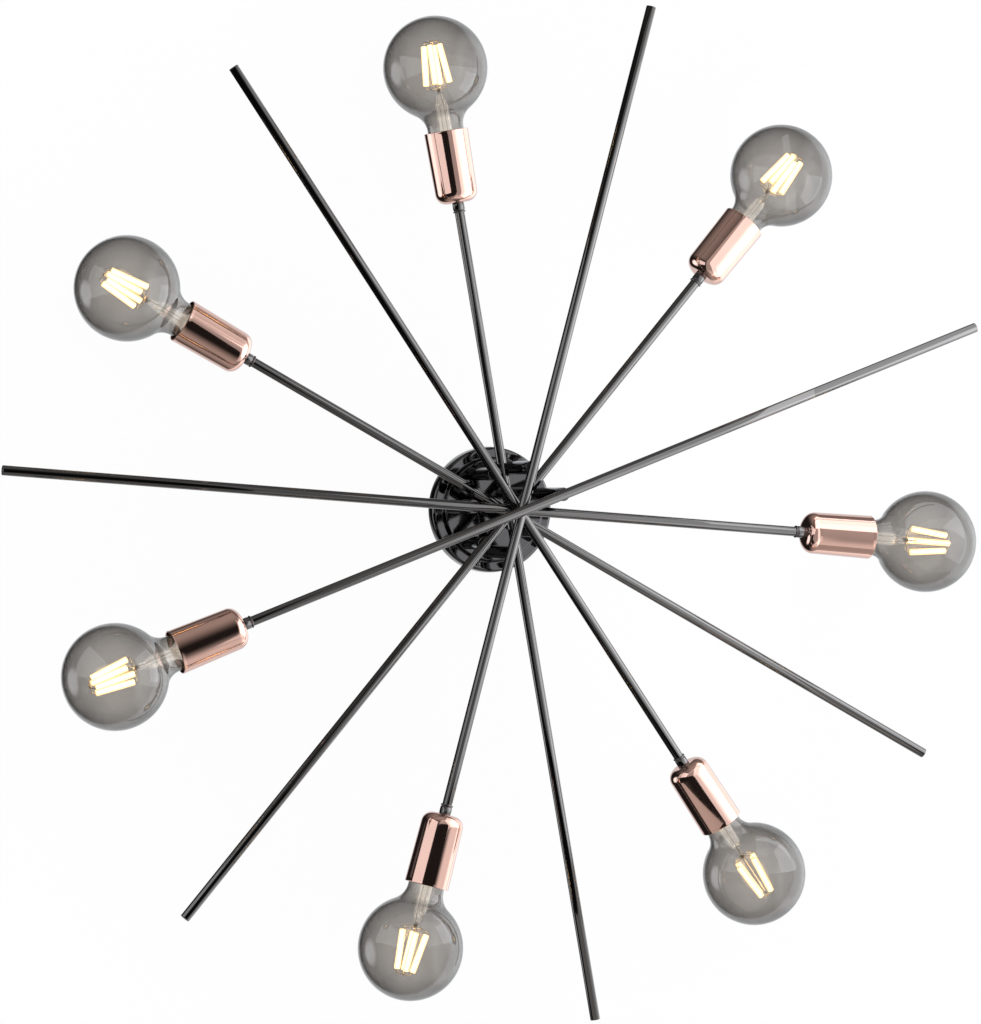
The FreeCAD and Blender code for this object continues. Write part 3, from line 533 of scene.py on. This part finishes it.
class LIGHT_OT_tubes(bpy.types.Operator):
    """Makes the seven crossed tubes and the plugs in their plain ends"""
    bl_idname = "light.tubes"
    bl_label = "Tubes"

    def execute(self, context):
        arm = context.scene.light_arm
        back, end, out = -arm.free_reach, arm.tube_end, arm.tube_radius
        bore, edge = out - arm.tube_wall, arm.tube_wall / 3.0
        tube = join(
            (back + INSET, bore + edge),
            (back + INSET, out - edge),
            arc(back + edge, out - edge, edge - INSET, 180.0, 90.0, 4)[1:],
            run((back + edge, out), (end, out), 24)[1:],
            run((end, bore), (back + edge, bore), 8))
        plug_radius, plug_end, shoulder = bore - FIT, back + arm.plug_length, back + 1.5 * edge
        plug = join(
            (plug_end, 0.0),
            (plug_end, plug_radius),
            (shoulder, plug_radius),
            arc(shoulder, plug_radius - edge, edge, 90.0, 180.0, 4)[1:],
            (back + edge / 2.0, 0.0))
        for tag, place in arms():
            build("arm_tube_%d" % tag, placed(turned(tube, 64), place), ("Black Chrome Tube",),
                  replaces=("rod_%d" % tag,))
        build("tube_end_plugs", on_all_arms(turned(plug, 48, closed=False)), ("Black End Plug",),
              replaces=("rod_end_plugs",))
        return {"FINISHED"}


class LIGHT_OT_holders(bpy.types.Operator):
    """Makes the collars and the rose copper cups"""
    bl_idname = "light.holders"
    bl_label = "Cup Holders"

    def execute(self, context):
        arm = context.scene.light_arm
        collar, cup = turned(self.collar(arm), 64), turned(self.cup(arm), 128)
        for tag, place in arms():
            build("holder_cup_skin_%d" % tag, placed(cup, place), ("Rose Copper Plate",),
                  replaces=("holder_cup_%d" % tag,))
        build("cup_collars", on_all_arms(collar), ("Black Chrome Tube",),
              replaces=("holder_collars",))
        return {"FINISHED"}

    @staticmethod
    def collar(arm):
        """Half section of a collar: rounded ring, groove, waist, fine line and a chamfer at the cup."""
        ring, groove, line, seam, chamfer, step = 0.00085, 0.0004, 0.0003, 0.0008, 0.0002, 0.00035
        back, front, waist = arm.cup_base - arm.collar_length, arm.cup_base, arm.collar_radius - step
        ring_end = back + 2.0 * ring
        return join(
            (back, arm.tube_radius + FIT),
            arc(back + ring, arm.collar_radius - ring, ring, 180.0, 0.0, 14)[1:-1],
            arc(ring_end + groove, waist - chamfer, groove, 180.0, 360.0, 8),
            (ring_end + 2.0 * groove + line, waist),
            (front - seam - groove, waist),
            arc(front - seam, waist, line, 180.0, 360.0, 8),
            (front - line, waist),
            (front, waist - chamfer),
            (front, arm.tube_radius + FIT))

    @staticmethod
    def cup(arm):
        """Half section of a cup: round shoulder, straight side and rolled lip, and the same less the wall inside."""
        base, mouth, wall, shoulder = arm.cup_base, arm.cup_mouth, arm.cup_wall, arm.cup_shoulder
        narrow, wide, hole = arm.cup_base_radius, arm.cup_mouth_radius, arm.tube_radius + 10.0 * FIT
        lip, swell, centre, out = wall * 0.62, 0.0001, base + shoulder, narrow - shoulder
        return join(
            (base, hole),
            arc(centre, out, shoulder, 180.0, 90.0, 20),
            run((centre, narrow), (mouth - 2.4 * lip, wide - swell), 20)[1:],
            arc(mouth - lip, wide - lip, lip, 90.0, -90.0, 12),
            run((mouth - 2.0 * lip, wide - wall - 2.0 * swell), (centre, narrow - wall), 12),
            arc(centre, out, shoulder - wall, 90.0, 180.0, 12),
            (base + wall, hole))


class LIGHT_OT_sockets(bpy.types.Operator):
    """Makes the threaded lamp sockets inside the cups"""
    bl_idname = "light.sockets"
    bl_label = "Lamp Sockets"

    def execute(self, context):
        arm = context.scene.light_arm
        base, floor, mouth = arm.cup_base + arm.cup_wall, arm.socket_floor, arm.socket_mouth
        out, bore, neck = arm.socket_radius, arm.socket_bore, arm.cup_base_radius - arm.cup_shoulder - 5.0 * FIT
        neck_end, pocket, flare_end = base + 0.009, base + 0.013, base + 0.0135
        edge, lead_in, hole, thread_height = 0.0006, 0.001, 0.0032, 0.0003
        parts = (
            join((base, arm.tube_radius), (base, neck), (neck_end, neck), (flare_end, out)),
            run((flare_end + lead_in / 2.0, out), (mouth - edge, out), 6),
            arc(mouth - edge, out - edge, edge, 90.0, 0.0, 5)[1:],
            arc(mouth - edge, bore + lead_in + edge, edge, 0.0, -90.0, 5),
            run((mouth - 1.5 * lead_in, bore), (floor, bore), 84),
            join((floor, hole), (pocket, hole), (pocket, arm.tube_radius)))
        socket = turned(join(*parts), 96, thread_wave(parts, 4, thread_height), arm.thread_pitch)
        for tag, place in arms():
            build("threaded_socket_%d" % tag, placed(socket, place), ("Black Phenolic",),
                  replaces=("lamp_socket_%d" % tag,))
        dress("socket_contacts", "Turned Brass")
        return {"FINISHED"}


class LIGHT_OT_bulbs(bpy.types.Operator):
    """Makes the bulbs: globe, inner stem, cap, filaments and their wires"""
    bl_idname = "light.bulbs"
    bl_label = "Filament Bulbs"

    def execute(self, context):
        bulb, arm = context.scene.light_bulb, context.scene.light_arm
        globe, stem = turned(self.globe_outline(bulb), 128), self.stem_shape(bulb)
        cap, cap_paint = self.cap_shape(bulb, arm)
        lights, wires = self.filament_shapes(bulb)
        for (tag, place), turn in zip(arms(), BULB_TURNS):
            place = place @ Matrix.Rotation(math.radians(turn), 4, "X")
            body = "bulb_%d" % tag
            build("globe_glass_%d" % tag, placed(globe, place), ("Smoked Glass",),
                  body, ("bulb_globe_%d" % tag,))
            build("stem_glass_%d" % tag, placed(stem, place), ("Clear Stem Glass",), body)
            build("screw_cap_%d" % tag, placed(cap, place), ("Rolled Screw Cap", "Cap Insulator", "Turned Brass"),
                  body, ("bulb_cap_%d" % tag,), cap_paint)
            build("filament_lights_%d" % tag, placed(lights, place), ("Lit Filament",),
                  body, ("bulb_filaments_%d" % tag,))
            build("filament_wires_%d" % tag, placed(wires, place), ("Lead Wire",), body)
        return {"FINISHED"}

    @staticmethod
    def globe_outline(bulb):
        """Half section of the envelope: sphere, concave sweep and neck outside, the same less the wall inside."""
        centre, radius, wall = bulb.globe_centre, bulb.globe_radius, bulb.glass
        neck, sweep, soft, end = bulb.neck_radius, bulb.neck_sweep, bulb.neck_round, bulb.cap_end
        sweep_at = centre - math.sqrt((radius + sweep) ** 2 - (neck + sweep) ** 2)
        turn_in = math.degrees(math.asin((neck + sweep) / (radius + sweep)))
        joint = bulb.cap_radius - wall / 2.0
        return join(
            arc(centre, 0.0, radius - 2.0 * INSET, 0.0, 180.0 - turn_in, 96),
            arc(sweep_at, neck + sweep, sweep, -turn_in, -90.0, 16)[1:],
            (end + soft, neck),
            arc(end + soft, neck - soft, soft, 90.0, 165.0, 8)[1:],
            (end, joint),
            (end, joint - wall),
            (end + soft, neck - wall),
            arc(sweep_at, neck + sweep, sweep + wall, -90.0, -turn_in, 16),
            arc(centre, 0.0, radius - wall, 180.0 - turn_in, 0.0, 96)[1:])

    @staticmethod
    def stem_shape(bulb):
        """Flared tube whose end is pressed flat: its section narrows one way and widens the other."""
        tip, radius = bulb.stem_tip, bulb.stem_radius
        flare, wall, rim, step = 0.009, 0.0011, 0.0006, 0.001
        pressed, pinched, narrows, widens = 0.010, 0.0055, 0.62, 0.10
        start, shoulder, bore = bulb.cap_end + 1.5 * step, tip - 7.5 * step, radius - wall
        foot, wide = start + flare, bulb.neck_radius - bulb.glass - 8.0 * FIT
        outline = join(
            (start, wide),
            arc(foot, radius + flare, flare, -170.0, -90.0, 10),
            run((foot, radius), (shoulder, radius), 6)[1:],
            run((shoulder + step, radius * 0.99), (tip, radius * 0.80), 8),
            (tip, 0.0),
            (shoulder, 0.0),
            (shoulder - step, bore * 0.8),
            run((tip - pressed, bore), (foot, bore), 4),
            arc(foot, radius + flare, flare + wall, -90.0, -165.0, 8),
            (start - rim, wide - rim))
        points, faces = turned(outline, 64)
        press = np.clip((points[:, 0] - (tip - pressed)) / pinched, 0.0, 1.0)
        press = press * press * (3.0 - 2.0 * press)
        points[:, 1] *= 1.0 - narrows * press
        points[:, 2] *= 1.0 + widens * press
        return points, faces

    @staticmethod
    def cap_shape(bulb, arm):
        """Screw cap: contact button, insulating cone, helical thread and plain skirt; returns its paint too.

        The paint is the finish of each face: 0 for the metal, 1 for the cone, 2 for the button.
        """
        tip, end, radius, around, thread_height = bulb.cap_tip, bulb.cap_end, bulb.cap_radius, 96, 0.0005
        button = join((tip, 0.0), (tip + 0.0001, 0.0022), arc(tip + 0.0014, 0.0030, 0.0013, 200.0, 110.0, 6))
        cone = run((tip + 0.0016, 0.0046), (tip + 0.0050, 0.0105), 4)
        thread = run((tip + 0.0056, radius - 0.0008), (end - 0.0035, radius - 0.0005), 80)
        skirt = join((end - 0.0026, radius - 0.0001), (end, radius), (end, 0.0))
        parts = (button, cone, thread, skirt)
        bands = np.repeat((2, 1, 0), (len(button) - 1, len(cone) + 1, len(thread) + len(skirt) - 1))
        cap = turned(join(*parts), around, thread_wave(parts, 2, thread_height), arm.thread_pitch, closed=False)
        return cap, np.repeat(bands, around)

    @staticmethod
    def filament_shapes(bulb):
        """Four slender coated rods leaning in to the top, their clips, and the wires that carry them."""
        base, top, tip = bulb.filament_start, bulb.filament_end, bulb.stem_tip
        clip, overlap, clip_wire, feed_wire, mast_wire = 0.0028, 0.0004, 0.00042, 0.0004, 0.00055
        taper, even = np.array((0.35, 0.75, 0.95)), np.ones(24)
        thick = bulb.filament_radius * np.concatenate((taper, even, taper[::-1]))
        share = np.concatenate(((0.0, 0.004, 0.012), np.linspace(0.03, 0.97, len(even)), (0.988, 0.996, 1.0)))
        lights, wires = [], []
        for quarter in range(4):
            turn = math.radians(45.0 + 90.0 * quarter)
            out = np.array((0.0, math.cos(turn), math.sin(turn)))
            low = out * bulb.base_circle + (base, 0.0, 0.0)
            high = out * bulb.top_circle + (top, 0.0, 0.0)
            lean = (high - low) / np.linalg.norm(high - low)
            start, end = low + lean * clip, high - lean * clip
            lights.append(swept(start + share[:, None] * (end - start), thick, 16))
            hub = out * 0.0024 + (base - 0.0018, 0.0, 0.0)
            crown = out * 0.0006 + (top + 0.0002, 0.0, 0.0)
            foot_wire = spline((start + lean * overlap, low, low * (1, 0.80, 0.80), hub), 8)
            top_wire = spline((end - lean * overlap, high, high * (1, 0.6, 0.6), crown), 8)
            wires += [swept(foot_wire, clip_wire, 10), swept(top_wire, clip_wire, 10)]
        along = base - 0.0045
        hub = join((along, 0.0), (along, 0.0020), arc(along + 0.0008, 0.0020, 0.0005, 180.0, 90.0, 4),
                   (base - 0.0006, 0.0025), (base, 0.0016), (base, 0.0))
        bead = arc(top + 0.0001, 0.0, 0.00125, 180.0, 0.0, 10)
        mast = run((tip - 0.0008, 0.0, 0.0), (top, 0.0, 0.0), 4)
        wires += [turned(hub, 32, closed=False), turned(bead, 24, closed=False), swept(mast, mast_wire, 12)]
        feed = join((bulb.cap_end + 0.003, 0.0036), (tip - 0.012, 0.0036), (tip - 0.004, 0.0030),
                    (tip + 0.0012, 0.0026), (along + 0.001, 0.0015))
        for side in (-1.0, 1.0):
            path = np.insert(feed * (1.0, side), 1, 0.0, axis=1)
            wires.append(swept(spline(path, 10), feed_wire, 10))
        return merged(*lights), merged(*wires)


class LIGHT_OT_canopy(bpy.types.Operator):
    """Makes the spun canopy and its posts, and finishes its screws"""
    bl_idname = "light.canopy"
    bl_label = "Canopy and Posts"

    def execute(self, context):
        sizes, arm = context.scene.light_canopy, context.scene.light_arm
        build("canopy_dish", placed(turned(self.section(sizes), 256), DOWN), ("Mirror Black Plate",),
              replaces=("canopy",), sharp=60.0)
        sleeves, pipes = [], []
        for _, place in arms():
            stand = post_matrix(sizes, place)
            depth = -place.translation.z - arm.tube_radius
            sleeves.append(placed(self.sleeve(sizes, arm, depth), stand))
            pipes.append(placed(self.pipe(sizes, depth), stand))
        build("post_sleeves", merged(*sleeves), ("Mirror Black Plate",), replaces=("rod_posts",))
        build("threaded_pipes", merged(*pipes), ("Zinc Plated Steel",), replaces=("post_pipes",))
        dress("post_nuts", "Turned Brass")
        dress("canopy_screws", "Mirror Black Plate")
        return {"FINISHED"}

    @staticmethod
    def section(sizes):
        """Half section of the spun dish: rolled rim, wall, round corner, flat ring, step and raised middle."""
        sheet, corner, depth, plateau = sizes.sheet, sizes.corner, sizes.depth, sizes.plateau
        soft, rim, steep = 0.0011, 0.0006, 76.5
        wall = sizes.radius - rim
        return join(
            arc(rim, wall, rim, 180.0, 90.0, 5),
            arc(depth - corner, wall - corner, corner, 90.0, 0.0, 16),
            run((depth, wall - corner), (depth, sizes.step_radius + soft), 6)[1:],
            arc(depth + soft, sizes.step_radius + soft, soft, 180.0, 180.0 + steep, 8)[1:],
            arc(plateau - soft, sizes.plateau_radius - soft, soft, steep, 0.0, 8),
            run((plateau, sizes.plateau_radius - soft), (plateau, 0.0), 24)[1:],
            run((plateau - sheet, 0.0), (plateau - sheet, sizes.plateau_radius - sheet - soft), 12),
            run((depth - sheet, sizes.step_radius - sheet + soft), (depth - sheet, wall - corner), 4),
            arc(depth - corner, wall - corner, corner - sheet, 0.0, 90.0, 8)[1:],
            (0.0, sizes.radius - sheet))

    @staticmethod
    def sleeve(sizes, arm, depth):
        """Tube whose end is a saddle: it is as deep as the arm's round side where that lies under it."""
        end, edge = depth + sizes.saddle_depth, 0.0005
        bore, out, grip = sizes.pipe_radius + 4.0 * FIT, sizes.post_radius, arm.tube_radius + FIT
        outline = join(
            (sizes.plateau, bore),
            (sizes.plateau, out),
            run((sizes.plateau + 2.0 * edge, out), (end - edge, out), 6),
            arc(end - edge, out - edge, edge, 90.0, 0.0, 5)[1:],
            run((end, out - edge), (end, bore), 14)[1:])
        points, faces = turned(outline, 128)
        across = np.clip(grip ** 2 - points[:, 1] ** 2, 0.0, None)
        seat = depth + arm.tube_radius - np.sqrt(across)
        over_arm = (points[:, 0] > depth - 4.0 * edge) & (across > 0)
        points[over_arm, 0] = np.minimum(points[over_arm, 0], seat[over_arm])
        return points, faces

    @staticmethod
    def pipe(sizes, depth):
        """Threaded pipe: plain in the tube, with a fine helical thread above."""
        bore, height, pitch, seat, chamfer = 0.002, 0.0001, 0.00075, 0.002, 0.0004
        top, root = sizes.pipe_top, sizes.pipe_radius - height
        thread = run((top + 3.0 * height, root), (sizes.plateau + seat, root), 70)
        outline = join((top, bore), (top, sizes.pipe_radius - chamfer), thread,
                       (depth + seat, root), (depth + seat, bore))
        wave = np.zeros(len(outline))
        wave[2:2 + len(thread)] = height
        return turned(outline, 48, wave, pitch)


class LIGHT_OT_ceiling_parts(bpy.types.Operator):
    """Finishes the bracket, terminal block and earth screw, and makes the leads"""
    bl_idname = "light.ceiling_parts"
    bl_label = "Bracket and Wiring"

    def execute(self, context):
        dress("mounting_bracket", "Zinc Plated Steel")
        dress("terminal_block", "White Terminal Plastic")
        dress("earth_screw", "Turned Brass")
        sizes, arm = context.scene.light_canopy, context.scene.light_arm
        post, drop, bend = -sizes.post_circle, -0.0016, 0.0072
        crowding, twin = 0.012, 0.0007
        straight, bared, core_start, core_depth = 0.010, 0.0035, 0.0045, 0.003
        turn = Matrix.Rotation(sizes.block_turn, 4, "Z")
        ports = [(Vector((pole * sizes.pole_pitch, side * sizes.block_side, -sizes.port_depth)),
                  Vector((0.0, side, 0.0))) for pole in (-1, 0, 1) for side in (-1, 1)]
        taken = [0] * len(ports)
        leads, cores = [], []
        for _, place in arms():
            top = -place.translation.z - sizes.lead_top
            local = place.inverted() @ turn
            foot = Vector((post, 0.0, top))
            # Each lead takes the nearest port, and a port that has a lead already counts as further away.
            pick = min(range(len(ports)), key=lambda i: (local @ ports[i][0] - foot).length + crowding * taken[i])
            aside = Vector((twin * (1 - 2 * taken[pick]), 0.0, 0.0))
            taken[pick] += 1
            mouth, out = local @ (ports[pick][0] + aside), local.to_3x3() @ ports[pick][1]
            route = ((arm.socket_floor, 0.0, drop), (post + bend, 0.0, drop), (post, 0.0, drop),
                     (post, 0.0, drop + bend), (post, 0.0, top - bend), (post, 0.0, top),
                     (post + bend, 0.0, top), mouth + out * straight, mouth + out * bared)
            leads.append(placed(swept(spline(route, 10), sizes.lead_radius, 20), place))
            core = run(mouth + out * core_start, mouth - out * core_depth, 6)
            cores.append(placed(swept(core, sizes.core_radius, 12), place))
        build("arm_leads", merged(*leads), ("Black Lead Sheath",), replaces=("rod_leads",))
        build("lead_cores", merged(*cores), ("Copper Core",))
        return {"FINISHED"}


class LIGHT_OT_stage(bpy.types.Operator):
    """Makes the ceiling patch, the studio's light and the camera"""
    bl_idname = "light.stage"
    bl_label = "Studio"

    def execute(self, context):
        scene = context.scene
        scene.view_settings.view_transform = "Standard"
        self.world(scene)
        self.ceiling(scene)
        self.lamps(scene)
        self.camera(scene)
        return {"FINISHED"}

    @staticmethod
    def basis(studio):
        """The photograph's right, up and towards-the-viewer directions, as columns."""
        az, el = studio.azimuth, studio.elevation
        back = Vector((math.sin(az) * math.cos(el), math.sin(el), math.cos(az) * math.cos(el)))
        right = Vector((0.0, 1.0, 0.0)).cross(back).normalized()
        return Matrix.Diagonal((1, -1, -1)) @ Matrix((right, back.cross(right), back)).transposed()

    @classmethod
    def world(cls, scene):
        """White to the camera and through glass; glows in a dark room in reflections; even grey on matt things."""
        fill_light, glow_foot = 0.45, 0.02
        world = bpy.data.worlds.new("Studio Room")
        scene.world = world
        world.use_nodes = True
        tree = Tree(world.node_tree)
        heading = tree.add("TexCoord", "Generated")
        basis = cls.basis(scene.light_studio)
        room = tree.add("RGB")
        room.default_value = [scene.light_studio.room] * 3 + [1.0]
        for *angles, brightness, warmth in GLOWS:
            off, turn, radius, soft = map(math.radians, angles)
            centre = basis @ Vector((math.sin(off) * math.cos(turn), math.sin(off) * math.sin(turn), math.cos(off)))
            along = tree.add("VectorMath", "Value", {0: heading, 1: centre}, operation="DOT_PRODUCT")
            ramp = tree.add("MapRange", 0, {"Value": tree.maths("ARCCOSINE", along), "From Min": radius + soft,
                                            "From Max": radius - soft - glow_foot}, interpolation_type="SMOOTHSTEP")
            glow = {0: ramp, 1: light_colour(brightness, warmth), 2: room}
            room = tree.add("VectorMath", 0, glow, operation="MULTIPLY_ADD")
        seen, mirrored = cls.paths(tree)
        matt = tree.blend(mirrored, [fill_light] * 3, room)
        final = tree.blend(seen, matt, (1.0, 1.0, 1.0))
        tree.fill(tree.nodes["Background"], {"Color": final})

    @staticmethod
    def paths(tree):
        """Whether a ray looks straight or through glass, and whether it has met a mirror on its way, as 0 or 1."""
        path = tree.nodes.new("ShaderNodeLightPath").outputs
        turned_back = tree.maths("GREATER_THAN", path["Glossy Depth"], 0.5)
        mirrored = tree.maths("MAXIMUM", path["Is Glossy Ray"], turned_back)
        ahead = tree.maths("MAXIMUM", path["Is Camera Ray"], path["Is Transmission Ray"])
        return tree.maths("MULTIPLY", ahead, tree.maths("SUBTRACT", 1.0, mirrored)), mirrored

    @classmethod
    def ceiling(cls, scene):
        """A disc just above the bracket that fades out: pale, seen from below only, with the light's shadow."""
        gap, fade_start, fade_end, glow_share = 0.0006, 0.08, 0.9, 0.955
        radius = scene.light_studio.panel_radius
        points, faces = placed(turned(run((0.0, 0.0), (0.0, radius), 12), 96, closed=False), DOWN)
        points[:, 2] += gap
        mesh = bpy.data.meshes.new("ceiling_patch")
        mesh.from_pydata(points.tolist(), [], faces.tolist())
        mesh.flip_normals()
        panel = bpy.data.objects.new("ceiling_patch", mesh)
        scene.collection.objects.link(panel)
        tree, shader = new_material("Matt Ceiling Paint")
        mesh.materials.append(bpy.data.materials["Matt Ceiling Paint"])
        tree.fill(shader, {"Base Color": (0.86, 0.86, 0.86, 1.0), "Roughness": 0.9})
        far = tree.add("VectorMath", "Value", {0: tree.add("TexCoord", "Object")}, operation="LENGTH")
        fade = tree.add("MapRange", 0, {"Value": far, "From Min": fade_start, "From Max": radius * fade_end},
                        interpolation_type="SMOOTHSTEP")
        seen, mirrored = cls.paths(tree)
        lit = tree.add("MixShader", 0, {0: tree.maths("MULTIPLY", seen, glow_share), 1: shader.outputs[0],
                                        2: tree.add("Emission")})
        above = tree.add("NewGeometry", "Backfacing")
        hidden = tree.maths("MAXIMUM", tree.maths("MAXIMUM", above, fade), mirrored)
        final = tree.add("MixShader", 0, {0: hidden, 1: lit, 2: tree.add("BsdfTransparent")})
        tree.fill(tree.nodes["Material Output"], {"Surface": final})

    @classmethod
    def lamps(cls, scene):
        """Rectangular soft boxes, each facing its aim, seen by mirrors but not by the eye or through glass."""
        basis = cls.basis(scene.light_studio)
        for name, place, aim, width, height, glow, warmth in SOFTBOXES:
            place = basis @ Vector(place)
            aim = (basis @ Vector(aim) - place).normalized()
            lamp = bpy.data.lights.new(name, "AREA")
            lamp.shape = "RECTANGLE"
            lamp.size, lamp.size_y = width, height
            lamp.energy = glow * math.pi * width * height
            lamp.color = light_colour(1.0, warmth)
            holder = bpy.data.objects.new(name, lamp)
            scene.collection.objects.link(holder)
            side = aim.cross(basis.col[1]).normalized()
            holder.location = place
            holder.rotation_mode = "QUATERNION"
            holder.rotation_quaternion = Matrix((side, side.cross(aim), -aim)).transposed().to_quaternion()
            holder.visible_camera = holder.visible_transmission = False

    @classmethod
    def camera(cls, scene):
        """Looks at the bracket from below, off its axis."""
        studio = scene.light_studio
        basis = cls.basis(studio)
        camera = bpy.data.cameras.new("camera")
        camera.lens = studio.lens
        camera.shift_x, camera.shift_y = FRAME_SHIFT
        holder = bpy.data.objects.new("camera", camera)
        scene.collection.objects.link(holder)
        holder.location = basis.col[2] * studio.distance
        holder.rotation_mode = "QUATERNION"
        holder.rotation_quaternion = basis.to_quaternion()
        scene.camera = holder


class LIGHT_PT_panel(bpy.types.Panel):
    """Lists the light's operators in the sidebar"""
    bl_idname = "LIGHT_PT_panel"
    bl_label = "Ceiling Light"
    bl_space_type = "VIEW_3D"
    bl_region_type = "UI"
    bl_category = "Ceiling Light"

    def draw(self, context):
        for step in STEPS:
            self.layout.operator(step.bl_idname)


STEPS = (LIGHT_OT_finishes, LIGHT_OT_stage, LIGHT_OT_tubes, LIGHT_OT_holders, LIGHT_OT_sockets, LIGHT_OT_bulbs,
         LIGHT_OT_canopy, LIGHT_OT_ceiling_parts)
SETTINGS = {"light_arm": ArmSizes, "light_bulb": BulbSizes, "light_canopy": CanopySizes,
            "light_finishes": Finishes, "light_studio": StudioSettings}


def register():
    for name, group in SETTINGS.items():
        bpy.utils.register_class(group)
        setattr(bpy.types.Scene, name, PointerProperty(type=group))
    for step in (*STEPS, LIGHT_PT_panel):
        bpy.utils.register_class(step)


def unregister():
    for step in (LIGHT_PT_panel, *STEPS):
        bpy.utils.unregister_class(step)
    for name, group in SETTINGS.items():
        delattr(bpy.types.Scene, name)
        bpy.utils.unregister_class(group)


def main():
    register()
    for step in STEPS:
        getattr(bpy.ops.light, step.bl_idname.split(".")[1])()


if __name__ == "__main__":
    main()
